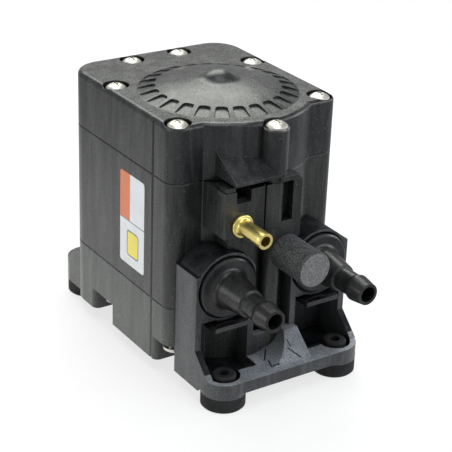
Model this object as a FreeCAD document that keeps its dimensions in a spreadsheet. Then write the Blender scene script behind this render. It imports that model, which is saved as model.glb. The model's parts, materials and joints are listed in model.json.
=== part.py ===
import FreeCAD, Part
import math
import os
import re

import Sketcher

# A gas-driven double-diaphragm pump for bag-in-box syrup.
# Millimetres. +Z is up and -Y is the front, where the hoses join.
# The origin is the middle of the four foot bolts, on the surface that the pump stands on.

DIMENSIONS = {
    # Three stacked housings
    "half_width": 44.0,
    "rear_y": 57.5,
    "stroke_axis_y": -5.0,
    "rear_corner_radius": 14.0,
    "front_wall_radius": 43.5,
    "bottom_z": 6.3,
    "lower_seam_z": 37.6,
    "upper_seam_z": 98.1,
    "rim_z": 124.5,
    "rim_round": 2.4,
    "seam_chamfer": 0.4,
    "side_groove_y": -22.0,
    "side_groove_width": 1.8,
    "side_groove_depth": 0.6,
    # Screw columns and screws
    "corner_screw_x": 37.5,
    "front_corner_screw_y": -31.4,
    "side_screw_y": 22.4,
    "rear_screw_x": 13.1,
    "rear_screw_y": 50.5,
    "front_screw_y": -51.5,
    "corner_column_radius": 6.5,
    "front_column_radius": 5.7,
    "lower_front_column_radius": 4.3,
    "head_radius": 4.74,
    "head_height": 3.2,
    "head_edge_height": 1.2,
    "head_seat_depth": 2.4,
    "head_pocket_radius": 6.0,
    "shank_radius": 2.2,
    "shank_length": 36.0,
    "shank_clearance": 0.1,
    "drive_width": 0.9,
    "drive_span": 5.0,
    "drive_depth": 1.5,
    "base_seat_z": 15.7,
    "side_notch_rear": 9.0,
    "side_notch_front": 8.5,
    "front_notch_rear": 5.3,
    "notch_round": 3.0,
    "side_seat_drop": 1.2,
    # Ribbed disc and button on the cover
    "disc_radius": 37.0,
    "disc_rise": 6.2,
    "button_rise": 3.6,
    "button_sink": 1.0,
    "button_crown_radius": 6.8,
    "button_crown_round": 10.5,
    "button_flare": 7.2,
    "button_foot_radius": 10.8,
    "button_foot_drop": 0.55,
    "slot_count": 25.0,
    "slot_outer_radius": 36.4,
    "slot_shoulder_radius": 30.0,
    "slot_inner_radius": 28.7,
    "slot_corner_round": 1.4,
    "slot_end_round": 6.0,
    "slot_end_angle": 5.2,
    "slot_angle": 10.4,
    "slot_phase": -91.3,
    "slot_floor_drop": 0.25,
    "slot_floor_rise": 1.9,
    "slot_floor_margin": 1.7,
    # Hood over the gas fitting, on the cover
    "hood_left_x": -24.4,
    "hood_right_x": 0.4,
    "hood_front_y": -58.3,
    "hood_base_z": 101.4,
    "hood_lip_height": 1.3,
    "hood_slope": 0.58,
    "hood_wall": 1.7,
    "hood_flange_right_x": 8.6,
    "hood_flange_thickness": 2.2,
    # Diaphragm chambers
    "diaphragm_radius": 37.0,
    "diaphragm_rim_thickness": 2.0,
    "diaphragm_thickness": 1.4,
    "rim_clearance": 0.1,
    "chamber_radius": 33.0,
    "gas_chamber_depth": 9.5,
    "liquid_chamber_depth": 12.0,
    "liquid_chamber_straight": 5.0,
    "liquid_chamber_end_radius": 20.0,
    "convolution_height": 3.0,
    "piston_radius": 16.5,
    "piston_thickness": 4.5,
    "piston_edge_round": 1.5,
    "shaft_radius": 5.0,
    "shaft_running_fit": 0.05,
    "piston_screw_radius": 2.5,
    "piston_screw_head_radius": 5.0,
    "piston_screw_head_height": 2.0,
    "piston_screw_depth": 16.0,
    "shaft_seal_spacing": 26.0,
    "seal_wire_radius": 0.9,
    # Shuttle valve
    "shuttle_y": 43.0,
    "sleeve_radius": 8.0,
    "sleeve_bottom_z": 45.0,
    "spool_radius": 5.0,
    "spool_neck_radius": 3.2,
    "spool_length": 46.0,
    "spool_land": 6.0,
    "spool_seal_radius": 0.8,
    "spool_end_gap": 0.3,
    # Check valves and waterways
    "valve_x": 28.0,
    "valve_y": 42.0,
    "valve_flap_radius": 7.6,
    "valve_flap_height": 1.8,
    "valve_stem_radius": 1.6,
    "seat_radius": 8.4,
    "seat_thickness": 2.5,
    "valve_pocket_radius": 8.5,
    "flap_room_radius": 8.0,
    "valve_pocket_depth": 7.0,
    "seat_hole_radius": 1.5,
    "seat_hole_circle": 4.8,
    "seat_hole_count": 6.0,
    "valve_stem_fit": 0.05,
    "valve_bulb_radius": 2.1,
    "valve_bulb_length": 2.0,
    "flap_edge": 0.5,
    "waterway_radius": 3.7,
    "channel_radius": 2.0,
    "channel_height": 3.5,
    "channel_front_y": 5.0,
    # Port bracket on the front
    "bracket_half_width": 41.0,
    "bracket_front_y": -55.0,
    "bracket_top_z": 61.0,
    "bracket_wall": 3.0,
    "back_wall": 2.0,
    "bracket_inner_x": 10.0,
    "bracket_inner_top_z": 52.0,
    "bracket_clearance": 0.2,
    "shelf_z": 38.0,
    "deck_front_y": -73.4,
    "deck_top_z": 14.5,
    "deck_underside_z": 8.7,
    "deck_corner_radius": 10.5,
    "pocket_front_y": -61.6,
    "pocket_floor_z": 10.0,
    "skirt_z": 6.5,
    "slope_start_z": 25.0,
    "slope_end_y": -66.0,
    "ramp_half_width": 12.5,
    "ramp_foot_y": -70.2,
    "ramp_top_y": -58.0,
    "ramp_top_z": 24.6,
    "ramp_side_foot_x": -9.0,
    "ramp_side_top_x": 5.0,
    "ramp_cove_radius": 20.0,
    "ear_thickness": 2.6,
    "port_x": 24.8,
    "port_z": 53.0,
    "boss_radius": 16.2,
    "boss_recess_radius": 15.1,
    "boss_recess_depth": 2.0,
    "nose_radius": 8.4,
    "nose_face_y": -42.5,
    "nose_clearance": 0.15,
    "seal_groove_depth": 1.75,
    "bore_bottom_y": -45.5,
    # Hose barb fittings
    "spigot_radius": 8.5,
    "spigot_fit": 0.06,
    "flange_radius": 14.3,
    "flange_front_y": -57.0,
    "neck_radius": 8.4,
    "neck_end_radius": 6.3,
    "neck_end_y": -73.0,
    "barb_root_radius": 5.3,
    "barb_ridge_radius": 6.1,
    "barb_tip_radius": 5.05,
    "barb_ridge_y": -84.5,
    "barb_tip_y": -91.4,
    "port_seal_wire_radius": 0.8,
    "spigot_end_gap": 0.2,
    "flange_edge": 0.8,
    "neck_flare": 2.6,
    "neck_step": 0.5,
    "barb_back": 3.0,
    "clip_groove_radius": 6.0,
    "clip_groove_width": 2.8,
    "clip_groove_y": -49.9,
    "port_seal_y": -47.1,
    # Lock clips of the hose fittings
    "clip_thickness": 2.4,
    "clip_half_width": 8.75,
    "clip_gap_half_width": 6.2,
    "clip_top_z": 60.5,
    "clip_base_z": 34.2,
    "clip_ledge_thickness": 2.2,
    "clip_ledge_front_y": -60.0,
    "clip_slot_clearance": 0.25,
    # Feet
    "foot_x": 30.7,
    "foot_y": 63.3,
    "foot_radius": 10.2,
    "foot_height": 7.0,
    "foot_neck_radius": 4.4,
    "foot_head_radius": 5.6,
    "foot_head_height": 5.6,
    "foot_bolt_radius": 2.5,
    "foot_edge_chamfer": 0.8,
    "foot_well_radius": 7.4,
    "foot_hole_clearance": 0.1,
    "foot_relief": 0.4,
    # Rear foot flange on the lower housing
    "rear_flange_top_z": 28.0,
    "rear_flange_end_z": 19.0,
    "rear_flange_break_y": 66.5,
    "rear_flange_y": 73.8,
    # Cored bays under the lower housing
    "base_cavity_top_z": 15.0,
    "base_bay_inner_radius": 12.0,
    "base_bay_outer_radius": 34.0,
    "base_bay_angle": 50.0,
    "base_bay_count": 6.0,
    # Gas block on the centre body
    "block_left_x": -28.0,
    "block_right_x": 0.5,
    "block_front_y": -56.0,
    "block_base_z": 76.7,
    "block_back_y": -36.0,
    "block_rib_step": 1.0,
    "panel_groove_x": -7.9,
    "panel_groove_width": 1.1,
    "window_left_x": -22.4,
    "window_right_x": -14.8,
    "window_sill_z": 93.6,
    "window_depth": 9.0,
    "window_sill_fall": 1.3,
    "slot_left_x": 2.2,
    "slot_right_x": 7.5,
    "slot_sill_z": 79.0,
    "wing_right_x": 12.2,
    "wing_base_z": 70.0,
    "pedestal_left_x": -22.8,
    "pedestal_right_x": -11.6,
    "pedestal_front_y": -51.5,
    "exhaust_x": 5.0,
    "exhaust_z": 64.0,
    "exhaust_boss_radius": 6.2,
    "exhaust_boss_front_y": -56.2,
    "exhaust_spigot_radius": 3.4,
    "exhaust_spigot_length": 9.0,
    "exhaust_bore_radius": 2.0,
    "exhaust_bore_depth": 30.0,
    # Porous muffler
    "muffler_radius": 8.2,
    "muffler_length": 22.0,
    "muffler_edge_round": 0.7,
    "muffler_socket_depth": 9.4,
    "muffler_socket_fit": 0.1,
    # Brass gas fitting
    "gas_x": -19.5,
    "gas_z": 82.0,
    "gas_spigot_radius": 4.2,
    "gas_spigot_fit": 0.05,
    "gas_spigot_length": 14.0,
    "gas_collar_radius": 5.3,
    "gas_collar_thickness": 1.6,
    "gas_barb_radius": 3.75,
    "gas_tip_radius": 3.6,
    "gas_neck_radius": 3.6,
    "gas_flare": 1.1,
    "gas_collar_edge": 0.5,
    "gas_tip_y": -74.5,
    "gas_bore_radius": 2.4,
    "gas_barb_land": 4.0,
    "gas_groove_radius": 3.1,
    "gas_groove_y": -49.0,
    "gas_groove_width": 2.4,
    "gas_seal_y": -44.6,
    "gas_seal_wire_radius": 0.75,
    # Clip of the gas fitting
    "gas_clip_thickness": 2.0,
    "gas_clip_gap": 0.2,
    "gas_clip_prong_width": 2.4,
    "gas_clip_prong_tip_z": 80.0,
    "gas_clip_left_x": -27.6,
    "gas_clip_arm_width": 4.8,
    "gas_clip_front_y": -55.6,
    "gas_clip_right_x": -12.0,
    "gas_clip_rear_y": -47.2,
}

PART_DOCUMENT = "Bag_in_box_pump"
doc = FreeCAD.newDocument(PART_DOCUMENT)
sheet = doc.addObject("Spreadsheet::Sheet", "Dims")
for row, (alias, value) in enumerate(DIMENSIONS.items(), start=1):
    sheet.set("A%d" % row, alias.replace("_", " "))
    sheet.set("B%d" % row, repr(value))
    sheet.setAlias("B%d" % row, alias)
doc.recompute()

NODES = []


# Expressions on the sheet

def on_sheet(expression):
    """The expression with each dimension's name led by the sheet's own."""
    def lead(match):
        word = match.group(0)
        return "Dims." + word if word in DIMENSIONS else word
    return re.sub(r"[a-z_]+", lead, str(expression))


def number(expression):
    """What an expression on the sheet is worth now."""
    worth = sheet.evalExpression(on_sheet(expression))
    return float(getattr(worth, "Value", worth))


def bind(thing, path, expression):
    thing.setExpression(path, on_sheet(expression))


def minus(expression):
    return "-(%s)" % expression


def polar(radius, angle):
    """A point at a radius and an angle in degrees, as two expressions."""
    return "(%s) * cos(%s)" % (radius, angle), "(%s) * sin(%s)" % (radius, angle)


# Sketches

class Sketch:
    """A sketch on one of a body's own planes, with every point tied to the sheet."""

    def __init__(self, body, name, plane, offset="0", centre=("0", "0")):
        self.thing = body.newObject("Sketcher::SketchObject", name)
        origin = [o for o in body.Origin.OriginFeatures if o.Role == plane][0]
        self.thing.AttachmentSupport = (origin, [""])
        self.thing.MapMode = "FlatFace"
        bind(self.thing, "AttachmentOffset.Base.x", centre[0])
        bind(self.thing, "AttachmentOffset.Base.y", centre[1])
        bind(self.thing, "AttachmentOffset.Base.z", offset)

    def tie(self, kind, geometry, expression):
        index = self.thing.addConstraint(Sketcher.Constraint(kind, *geometry, number(expression)))
        bind(self.thing, "Constraints[%d]" % index, expression)

    def place(self, geometry, end, point):
        """Ties an end, or with end 3 a centre, to its x and y from the sketch's origin."""
        self.tie("DistanceX", (-1, 1, geometry, end), point[0])
        self.tie("DistanceY", (-1, 1, geometry, end), point[1])

    def circle(self, point, radius):
        centre = FreeCAD.Vector(number(point[0]), number(point[1]), 0)
        edge = self.thing.addGeometry(Part.Circle(centre, FreeCAD.Vector(0, 0, 1), number(radius)), False)
        self.tie("Radius", (edge,), radius)
        self.place(edge, 3, point)
        return self

    def rectangle(self, left, bottom, right, top):
        return self.outline((left, bottom), (right, bottom), (right, top), (left, top))

    def outline(self, *steps):
        """A closed loop of points. ("left" or "right", radius) between two points bends
        the edge between them into an arc that turns that way."""
        points = []
        bends = {}
        for step in steps:
            if step[0] in ("left", "right"):
                bends[len(points) - 1] = step
            else:
                points.append(step)
        spots = [FreeCAD.Vector(number(x), number(y), 0) for x, y in points]
        ends = []
        for index, start in enumerate(spots):
            finish = spots[(index + 1) % len(spots)]
            if index in bends:
                ends.append(self.arc(start, finish, *bends[index]))
            else:
                edge = self.thing.addGeometry(Part.LineSegment(start, finish), False)
                ends.append((edge, 1, 2))
        for index, (edge, start, _) in enumerate(ends):
            before, _, finish = ends[index - 1]
            self.thing.addConstraint(Sketcher.Constraint("Coincident", before, finish, edge, start))
            self.place(edge, start, points[index])
        return self

    def arc(self, start, finish, turn, radius):
        """An arc less than half a turn. The sketcher keeps arcs anticlockwise, so the ends
        of one that turns right are told apart here."""
        size = number(radius)
        chord = finish - start
        across = FreeCAD.Vector(-chord.y, chord.x, 0) / chord.Length
        side = 1 if turn == "left" else -1
        rise = math.sqrt(max(size ** 2 - (chord.Length / 2) ** 2, 0))
        middle = (start + finish) / 2
        crown = middle + across * side * (rise - size)
        edge = self.thing.addGeometry(Part.Arc(start, crown, finish), False)
        self.tie("Radius", (edge,), radius)
        return (edge, 1, 2) if turn == "left" else (edge, 2, 1)


# Bodies and features

def new_body(name):
    """A piece of the pump. Its name is also its file's."""
    body = doc.addObject("PartDesign::Body", "Body_" + name)
    body.Label = name
    NODES.append(body)
    return body


def feature(body, kind, name, drawing, **extents):
    """A feature on a sketch, whose lengths are bound to the sheet."""
    thing = body.newObject("PartDesign::" + kind, name)
    thing.Profile = drawing.thing
    for path, expression in extents.items():
        bind(thing, path, expression)
    drawing.thing.Visibility = False
    return thing


def pad(body, name, drawing, length):
    return feature(body, "Pad", name, drawing, Length=length)


def pocket(body, name, drawing, length, reverse=False):
    """A cut against the sketch's normal, or along it when reversed."""
    thing = feature(body, "Pocket", name, drawing, Length=length)
    thing.Reversed = reverse
    thing.Refine = False
    return thing


def turned(body, kind, name, drawing):
    """A full turn of a sketch about its own upright axis."""
    thing = feature(body, kind, name, drawing)
    thing.ReferenceAxis = (drawing.thing, ["V_Axis"])
    thing.Angle = 360
    return thing


def revolve(body, name, drawing):
    return turned(body, "Revolution", name, drawing)


def groove(body, name, drawing):
    thing = turned(body, "Groove", name, drawing)
    thing.Refine = False
    return thing


def polar_pattern(body, name, original, drawing, count):
    """Copies of a feature about the axis through a sketch's own origin."""
    doc.recompute()
    thing = body.newObject("PartDesign::PolarPattern", name)
    thing.Originals = [original]
    thing.Axis = (drawing.thing, ["N_Axis"])
    thing.Angle = 360
    bind(thing, "Occurrences", count)
    body.Tip = thing
    doc.recompute()
    return thing


def edge_names(shape, wanted):
    return ["Edge%d" % n for n, edge in enumerate(shape.Edges, start=1) if wanted(edge)]


def dress(body, kind, name, wanted, path, expression):
    """A fillet or a chamfer on the edges of the tip that are wanted."""
    doc.recompute()
    tip = body.Tip
    names = edge_names(tip.Shape, wanted)
    if not names:
        raise ValueError("%s finds no edge on %s" % (name, body.Label))
    thing = body.newObject("PartDesign::" + kind, name)
    thing.Base = (tip, names)
    bind(thing, path, expression)
    doc.recompute()
    return thing


def upright(x, y, reach=0.01):
    """Picks vertical edges at a place in plan."""
    def wanted(edge):
        box = edge.BoundBox
        tall = box.ZLength > 1 and box.XLength < reach and box.YLength < reach
        return tall and abs(box.XMin - x) < reach and abs(box.YMin - y) < reach
    return wanted


def level(z):
    """Picks the edges that lie at one height."""
    def wanted(edge):
        box = edge.BoundBox
        return box.ZLength < 0.01 and abs(box.ZMin - z) < 0.01
    return wanted


# Shapes that the three housings share

def box(body, name, left, right, front, rear, bottom, top):
    """A pad with a rectangular plan between two heights."""
    drawing = Sketch(body, name + "_plan", "XY_Plane", bottom)
    drawing.rectangle(left, front, right, rear)
    return pad(body, name, drawing, "(%s) - (%s)" % (top, bottom))


def disc(body, name, point, radius, bottom, top):
    drawing = Sketch(body, name + "_plan", "XY_Plane", bottom).circle(point, radius)
    return pad(body, name, drawing, "(%s) - (%s)" % (top, bottom))


def box_cut(body, name, left, right, front, rear, bottom, top):
    drawing = Sketch(body, name + "_plan", "XY_Plane", top)
    drawing.rectangle(left, front, right, rear)
    return pocket(body, name, drawing, "(%s) - (%s)" % (top, bottom))


def hole(body, name, points, radius, bottom, top):
    """Round upright holes of one radius, at one point or at several."""
    drawing = Sketch(body, name + "_plan", "XY_Plane", top)
    for point in points if isinstance(points, list) else [points]:
        drawing.circle(point, radius)
    return pocket(body, name, drawing, "(%s) - (%s)" % (top, bottom))


def front_boss(body, name, x, z, radius, rear, front):
    """A round boss along -Y."""
    drawing = Sketch(body, name + "_front", "XZ_Plane", minus(rear)).circle((x, z), radius)
    return pad(body, name, drawing, "(%s) - (%s)" % (rear, front))


def front_bore(body, name, x, z, radius, front, rear):
    """A round hole that starts at the front and runs along +Y."""
    drawing = Sketch(body, name + "_front", "XZ_Plane", minus(front)).circle((x, z), radius)
    return pocket(body, name, drawing, "(%s) - (%s)" % (rear, front))


SHOULDER_Y = "front_corner_screw_y - corner_column_radius"
STROKE_AXIS = ("0", "stroke_axis_y")
SIDES = {"left": "-1", "right": "1"}


def screw_points():
    """The seven screws' places, the same for the cover and the base."""
    return [
        (minus("corner_screw_x"), "front_corner_screw_y"),
        ("corner_screw_x", "front_corner_screw_y"),
        (minus("corner_screw_x"), "side_screw_y"),
        ("corner_screw_x", "side_screw_y"),
        (minus("rear_screw_x"), "rear_screw_y"),
        ("rear_screw_x", "rear_screw_y"),
        ("0", "front_screw_y"),
    ]


def housing_plan(body, bottom, top, front_column):
    """The stacked plan: square back with round corners, round front wall, screw columns."""
    box(body, "Block", minus("half_width"), "half_width", "front_corner_screw_y", "rear_y", bottom, top)
    dress(body, "Fillet", "Rear_corners",
          lambda edge: any(upright(side * number("half_width"), number("rear_y"))(edge) for side in (-1, 1)),
          "Radius", "rear_corner_radius")
    box(body, "Shoulder", minus("corner_screw_x"), "corner_screw_x",
        SHOULDER_Y, "front_corner_screw_y", bottom, top)
    for side, sign in SIDES.items():
        disc(body, "Corner_column_" + side, ("corner_screw_x * " + sign, "front_corner_screw_y"),
             "corner_column_radius", bottom, top)
    disc(body, "Front_wall", STROKE_AXIS, "front_wall_radius", bottom, top)
    disc(body, "Front_column", ("0", "front_screw_y"), front_column, bottom, top)


def side_grooves(body, bottom, top):
    """The upright parting groove on each side."""
    for side, sign in SIDES.items():
        drawing = Sketch(body, "Side_groove_%s_plan" % side, "XY_Plane", top)
        bottom_x = "(half_width - side_groove_depth) * " + sign
        open_x = "(half_width + side_groove_depth) * " + sign
        drawing.outline((bottom_x, "side_groove_y"), (open_x, "side_groove_y - side_groove_width"),
                        (open_x, "side_groove_y + side_groove_width"))
        pocket(body, "Side_groove_" + side, drawing, "(%s) - (%s)" % (top, bottom))


def seam_edge(body, name, seam):
    """The small chamfer that shows as a dark line where two housings meet."""
    dress(body, "Chamfer", name, level(number(seam)), "Size", "seam_chamfer")


def screw_holes(body, name, bottom, top):
    hole(body, name, screw_points(), "shank_radius + shank_clearance", bottom, top)


def both_sides(x, y):
    """A point and its mirror image on the other side of the pump."""
    return [(minus(x), y), (x, y)]


def rim_seat(body, seam, away):
    """The step that holds half the thickness of a diaphragm's rim."""
    half = "diaphragm_rim_thickness / 2"
    low, high = (seam, "%s + %s" % (seam, half)) if away > 0 else ("%s - %s" % (seam, half), seam)
    hole(body, "Rim_seat_%s" % ("above" if away > 0 else "below"), STROKE_AXIS,
         "diaphragm_radius + rim_clearance", low, high)


def liquid_chamber(body, seam, sign):
    """A chamber that narrows away from the diaphragm, turned about the stroke axis."""
    drawing = Sketch(body, "Chamber_profile", "XZ_Plane", minus("stroke_axis_y"))
    deep = "%s + liquid_chamber_depth * %s" % (seam, sign)
    straight = "%s + liquid_chamber_straight * %s" % (seam, sign)
    drawing.outline(("0", seam), ("chamber_radius", seam), ("chamber_radius", straight),
                    ("liquid_chamber_end_radius", deep), ("0", deep))
    groove(body, "Chamber", drawing)


def valve_rooms(body, name, inlet_radius, outlet_radius, bottom, top):
    """The rooms of an inlet valve, on the left, and of an outlet valve, on the right."""
    hole(body, name + "_inlet", (minus("valve_x"), "valve_y"), inlet_radius, bottom, top)
    hole(body, name + "_outlet", ("valve_x", "valve_y"), outlet_radius, bottom, top)


def chamber_channels(body, z):
    """The two ways between a liquid chamber and the rooms of its valves."""
    for side, sign in SIDES.items():
        front_bore(body, "Channel_" + side, "valve_x * " + sign, z, "channel_radius",
                   "channel_front_y", "valve_y")


# Cover

def upper_cover():
    body = new_body("upper_cover")
    housing_plan(body, "upper_seam_z", "rim_z", "front_column_radius")
    dress(body, "Fillet", "Rim_round", level(number("rim_z")), "Radius", "rim_round")
    seam_edge(body, "Seam_edge", "upper_seam_z")
    cover_hood(body)
    side_grooves(body, "upper_seam_z", "rim_z")
    hole(body, "Head_pockets", screw_points(), "head_pocket_radius", "rim_z - head_seat_depth", "rim_z")
    screw_holes(body, "Screw_holes", "upper_seam_z", "rim_z - head_seat_depth")
    liquid_chamber(body, "upper_seam_z", "1")
    rim_seat(body, "upper_seam_z", 1)
    valve_rooms(body, "Valve_room", "flap_room_radius", "valve_pocket_radius",
                "upper_seam_z", "upper_seam_z + valve_pocket_depth")
    chamber_channels(body, "upper_seam_z + channel_height")
    slotted_disc(body)
    return body


def slotted_disc(body):
    """The shallow dome on the cover, the ring of slots in it and the button in its middle."""
    dome = Sketch(body, "Disc_profile", "XZ_Plane", minus("stroke_axis_y"))
    foot = "rim_z - rim_round"
    dome.outline(("0", foot), ("disc_radius", foot), ("disc_radius", "rim_z"),
                 ("left", "(disc_radius * disc_radius + disc_rise * disc_rise) / (2 * disc_rise)"),
                 ("0", "rim_z + disc_rise"))
    revolve(body, "Disc", dome)
    slot = Sketch(body, "Slot_plan", "XY_Plane", "rim_z + disc_rise", STROKE_AXIS)
    left = "slot_phase - slot_angle / 2"
    right = "slot_phase + slot_angle / 2"
    slot.outline(polar("slot_outer_radius", left), ("left", "slot_outer_radius"),
                 polar("slot_outer_radius", right), polar("slot_shoulder_radius", right),
                 ("left", "slot_corner_round"),
                 polar("slot_inner_radius", "slot_phase + slot_end_angle / 2"),
                 ("left", "slot_end_round"),
                 polar("slot_inner_radius", "slot_phase - slot_end_angle / 2"),
                 ("left", "slot_corner_round"), polar("slot_shoulder_radius", left))
    first = pocket(body, "Slot", slot, "disc_rise + slot_floor_drop")
    polar_pattern(body, "Slots", first, slot, "slot_count")
    floor = Sketch(body, "Slot_floor_profile", "XZ_Plane", minus("stroke_axis_y"))
    inner = "slot_inner_radius - slot_floor_margin"
    outer = "slot_outer_radius + slot_floor_drop"
    floor.outline((inner, foot), (outer, foot), (outer, "rim_z - slot_floor_drop"),
                  (inner, "rim_z + slot_floor_rise"))
    revolve(body, "Slot_floor", floor)
    button = Sketch(body, "Button_profile", "XZ_Plane", minus("stroke_axis_y"))
    base = "rim_z + disc_rise - button_sink"
    top = "rim_z + disc_rise + button_rise"
    crown = "%s - button_crown_round + sqrt(button_crown_round^2 - button_crown_radius^2)" % top
    button.outline(("0", base), ("button_foot_radius", base),
                   ("button_foot_radius", "rim_z + disc_rise - button_foot_drop"),
                   ("right", "button_flare"), ("button_crown_radius", crown),
                   ("left", "button_crown_round"), ("0", top))
    revolve(body, "Button", button)


def cover_hood(body):
    """The hollow sloping hood over the gas fitting's clip, and the small flange beside it."""
    back = "stroke_axis_y - front_wall_radius * cos(asin(hood_left_x / front_wall_radius)) + hood_wall"
    lip = "hood_base_z + hood_lip_height"
    profile = Sketch(body, "Hood_profile", "YZ_Plane", "hood_left_x")
    profile.outline(("hood_front_y", "hood_base_z"), (back, "hood_base_z"),
                    (back, "%s + hood_slope * (%s - hood_front_y)" % (lip, back)), ("hood_front_y", lip))
    pad(body, "Hood", profile, "hood_right_x - hood_left_x")
    inner = Sketch(body, "Hood_inside_profile", "YZ_Plane", "hood_left_x + hood_wall")
    front = "hood_front_y + hood_wall"
    rear = "%s - 2 * hood_wall" % back
    inner.outline((front, "hood_base_z"), (rear, "hood_base_z"),
                  (rear, "hood_base_z + hood_slope * (%s - hood_front_y)" % rear),
                  (front, "hood_base_z + hood_slope * hood_wall"))
    pocket(body, "Hood_inside", inner, "hood_right_x - hood_left_x - 5 * hood_wall", reverse=True)
    box(body, "Hood_flange", "hood_right_x - hood_wall", "hood_flange_right_x", "hood_front_y",
        "front_screw_y", "hood_base_z - hood_flange_thickness", "hood_base_z")


# Centre body

def centre_body():
    body = new_body("centre_body")
    housing_plan(body, "lower_seam_z", "upper_seam_z", "lower_front_column_radius")
    seam_edge(body, "Upper_seam_edge", "upper_seam_z")
    seam_edge(body, "Lower_seam_edge", "lower_seam_z")
    gas_block(body)
    side_grooves(body, "lower_seam_z", "upper_seam_z")
    gas_chambers(body)
    hole(body, "Shuttle_bore", ("0", "shuttle_y"), "sleeve_radius + shaft_running_fit",
         "sleeve_bottom_z", "upper_seam_z")
    waterways(body)
    screw_holes(body, "Top_screw_holes", "rim_z - head_seat_depth - shank_length - 1", "upper_seam_z")
    screw_holes(body, "Base_screw_holes", "lower_seam_z", "base_seat_z + shank_length + 1")
    return body


def gas_chambers(body):
    """The two gas chambers, the seats of the diaphragms' rims and the bore of the shaft."""
    hole(body, "Upper_gas_chamber", STROKE_AXIS, "chamber_radius",
         "upper_seam_z - gas_chamber_depth", "upper_seam_z")
    hole(body, "Lower_gas_chamber", STROKE_AXIS, "chamber_radius",
         "lower_seam_z", "lower_seam_z + gas_chamber_depth")
    rim_seat(body, "upper_seam_z", -1)
    rim_seat(body, "lower_seam_z", 1)
    hole(body, "Shaft_bore", STROKE_AXIS, "shaft_radius + shaft_running_fit",
         "lower_seam_z + gas_chamber_depth", "upper_seam_z - gas_chamber_depth")
    for end, sign in (("lower", "-1"), ("upper", "1")):
        seal_groove(body, end, sign)


def waterways(body):
    """A bore from each port to a riser, which ends above and below in a check valve's seat."""
    for side, sign in SIDES.items():
        x = "port_x * " + sign
        front_boss(body, "Port_pad_" + side, x, "port_z", "nose_radius", "block_back_y", "nose_face_y")
        front_bore(body, "Port_face_" + side, x, "port_z", "nose_radius + nose_clearance",
                   "bracket_front_y", "nose_face_y")
        front_bore(body, "Waterway_" + side, x, "port_z", "waterway_radius",
                   "nose_face_y", "valve_y")
    valves = both_sides("valve_x", "valve_y")
    hole(body, "Risers", valves, "waterway_radius", "lower_seam_z", "upper_seam_z")
    valve_rooms(body, "Lower_seat", "valve_pocket_radius", "flap_room_radius",
                "lower_seam_z", "lower_seam_z + seat_thickness")
    valve_rooms(body, "Upper_seat", "valve_pocket_radius", "flap_room_radius",
                "upper_seam_z - seat_thickness", "upper_seam_z")


def seal_groove(body, end, sign):
    """A ring groove for a shaft seal."""
    middle = "(lower_seam_z + upper_seam_z) / 2 + shaft_seal_spacing / 2 * " + sign
    drawing = Sketch(body, "Seal_groove_profile_" + end, "XZ_Plane", minus("stroke_axis_y"))
    outer = "shaft_radius + 2 * seal_wire_radius + shaft_running_fit"
    drawing.rectangle("shaft_radius", middle + " - seal_wire_radius",
                      outer, middle + " + seal_wire_radius")
    groove(body, "Seal_groove_" + end, drawing)


def gas_block(body):
    """The block on the front wall that takes the gas fitting and carries the exhaust."""
    box(body, "Gas_block", "block_left_x", "block_right_x", "block_front_y", "block_back_y",
        "block_base_z", "upper_seam_z")
    box(body, "Slot_back", "block_right_x", "slot_right_x", "front_screw_y", "block_back_y",
        "wing_base_z", "upper_seam_z")
    box(body, "Slot_sill", "block_right_x", "slot_right_x", "block_front_y", "block_back_y",
        "wing_base_z", "slot_sill_z")
    box(body, "Wing", "slot_right_x", "wing_right_x", "block_front_y", "block_back_y",
        "wing_base_z", "upper_seam_z")
    box(body, "Slot_rib", "block_right_x", "slot_left_x", "block_front_y + block_rib_step", "block_back_y",
        "slot_sill_z", "upper_seam_z")
    pedestal(body)
    front_boss(body, "Exhaust_boss", "exhaust_x", "exhaust_z", "exhaust_boss_radius",
               "block_back_y", "exhaust_boss_front_y")
    front_boss(body, "Exhaust_spigot", "exhaust_x", "exhaust_z", "exhaust_spigot_radius",
               "exhaust_boss_front_y", "exhaust_boss_front_y - exhaust_spigot_length")
    front_bore(body, "Exhaust_bore", "exhaust_x", "exhaust_z", "exhaust_bore_radius",
               "exhaust_boss_front_y - exhaust_spigot_length",
               "exhaust_boss_front_y - exhaust_spigot_length + exhaust_bore_depth")
    box_cut(body, "Panel_groove", "panel_groove_x", "panel_groove_x + panel_groove_width",
            "block_front_y", "block_front_y + panel_groove_width", "block_base_z", "upper_seam_z")
    box_cut(body, "Window", "window_left_x", "window_right_x", "block_front_y",
            "block_front_y + window_depth", "window_sill_z", "upper_seam_z")
    sill = Sketch(body, "Window_sill_profile", "YZ_Plane", "window_left_x")
    sill.outline(("block_front_y - window_sill_fall", "window_sill_z - 1.5 * window_sill_fall"),
                 ("block_front_y + 2 * window_sill_fall", "window_sill_z"),
                 ("block_front_y - window_sill_fall", "window_sill_z"))
    pocket(body, "Window_sill", sill, "window_right_x - window_left_x", reverse=True)
    front_bore(body, "Gas_bore", "gas_x", "gas_z", "gas_spigot_radius + gas_spigot_fit",
               "block_front_y", "block_front_y + gas_spigot_length")
    front_bore(body, "Gas_way", "gas_x", "gas_z", "gas_bore_radius",
               "block_front_y", "block_front_y + 2 * gas_spigot_length")
    clip_slot = "gas_groove_width / 2"
    for side, sign in SIDES.items():
        inner = "gas_x + gas_groove_radius * " + sign
        outer = "gas_x + (gas_groove_radius + gas_clip_prong_width + 2 * gas_clip_gap) * " + sign
        left, right = (outer, inner) if side == "left" else (inner, outer)
        box_cut(body, "Prong_slot_" + side, left, right, "gas_groove_y - " + clip_slot,
                "gas_groove_y + " + clip_slot, "gas_clip_prong_tip_z - gas_clip_gap", "upper_seam_z")


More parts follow.
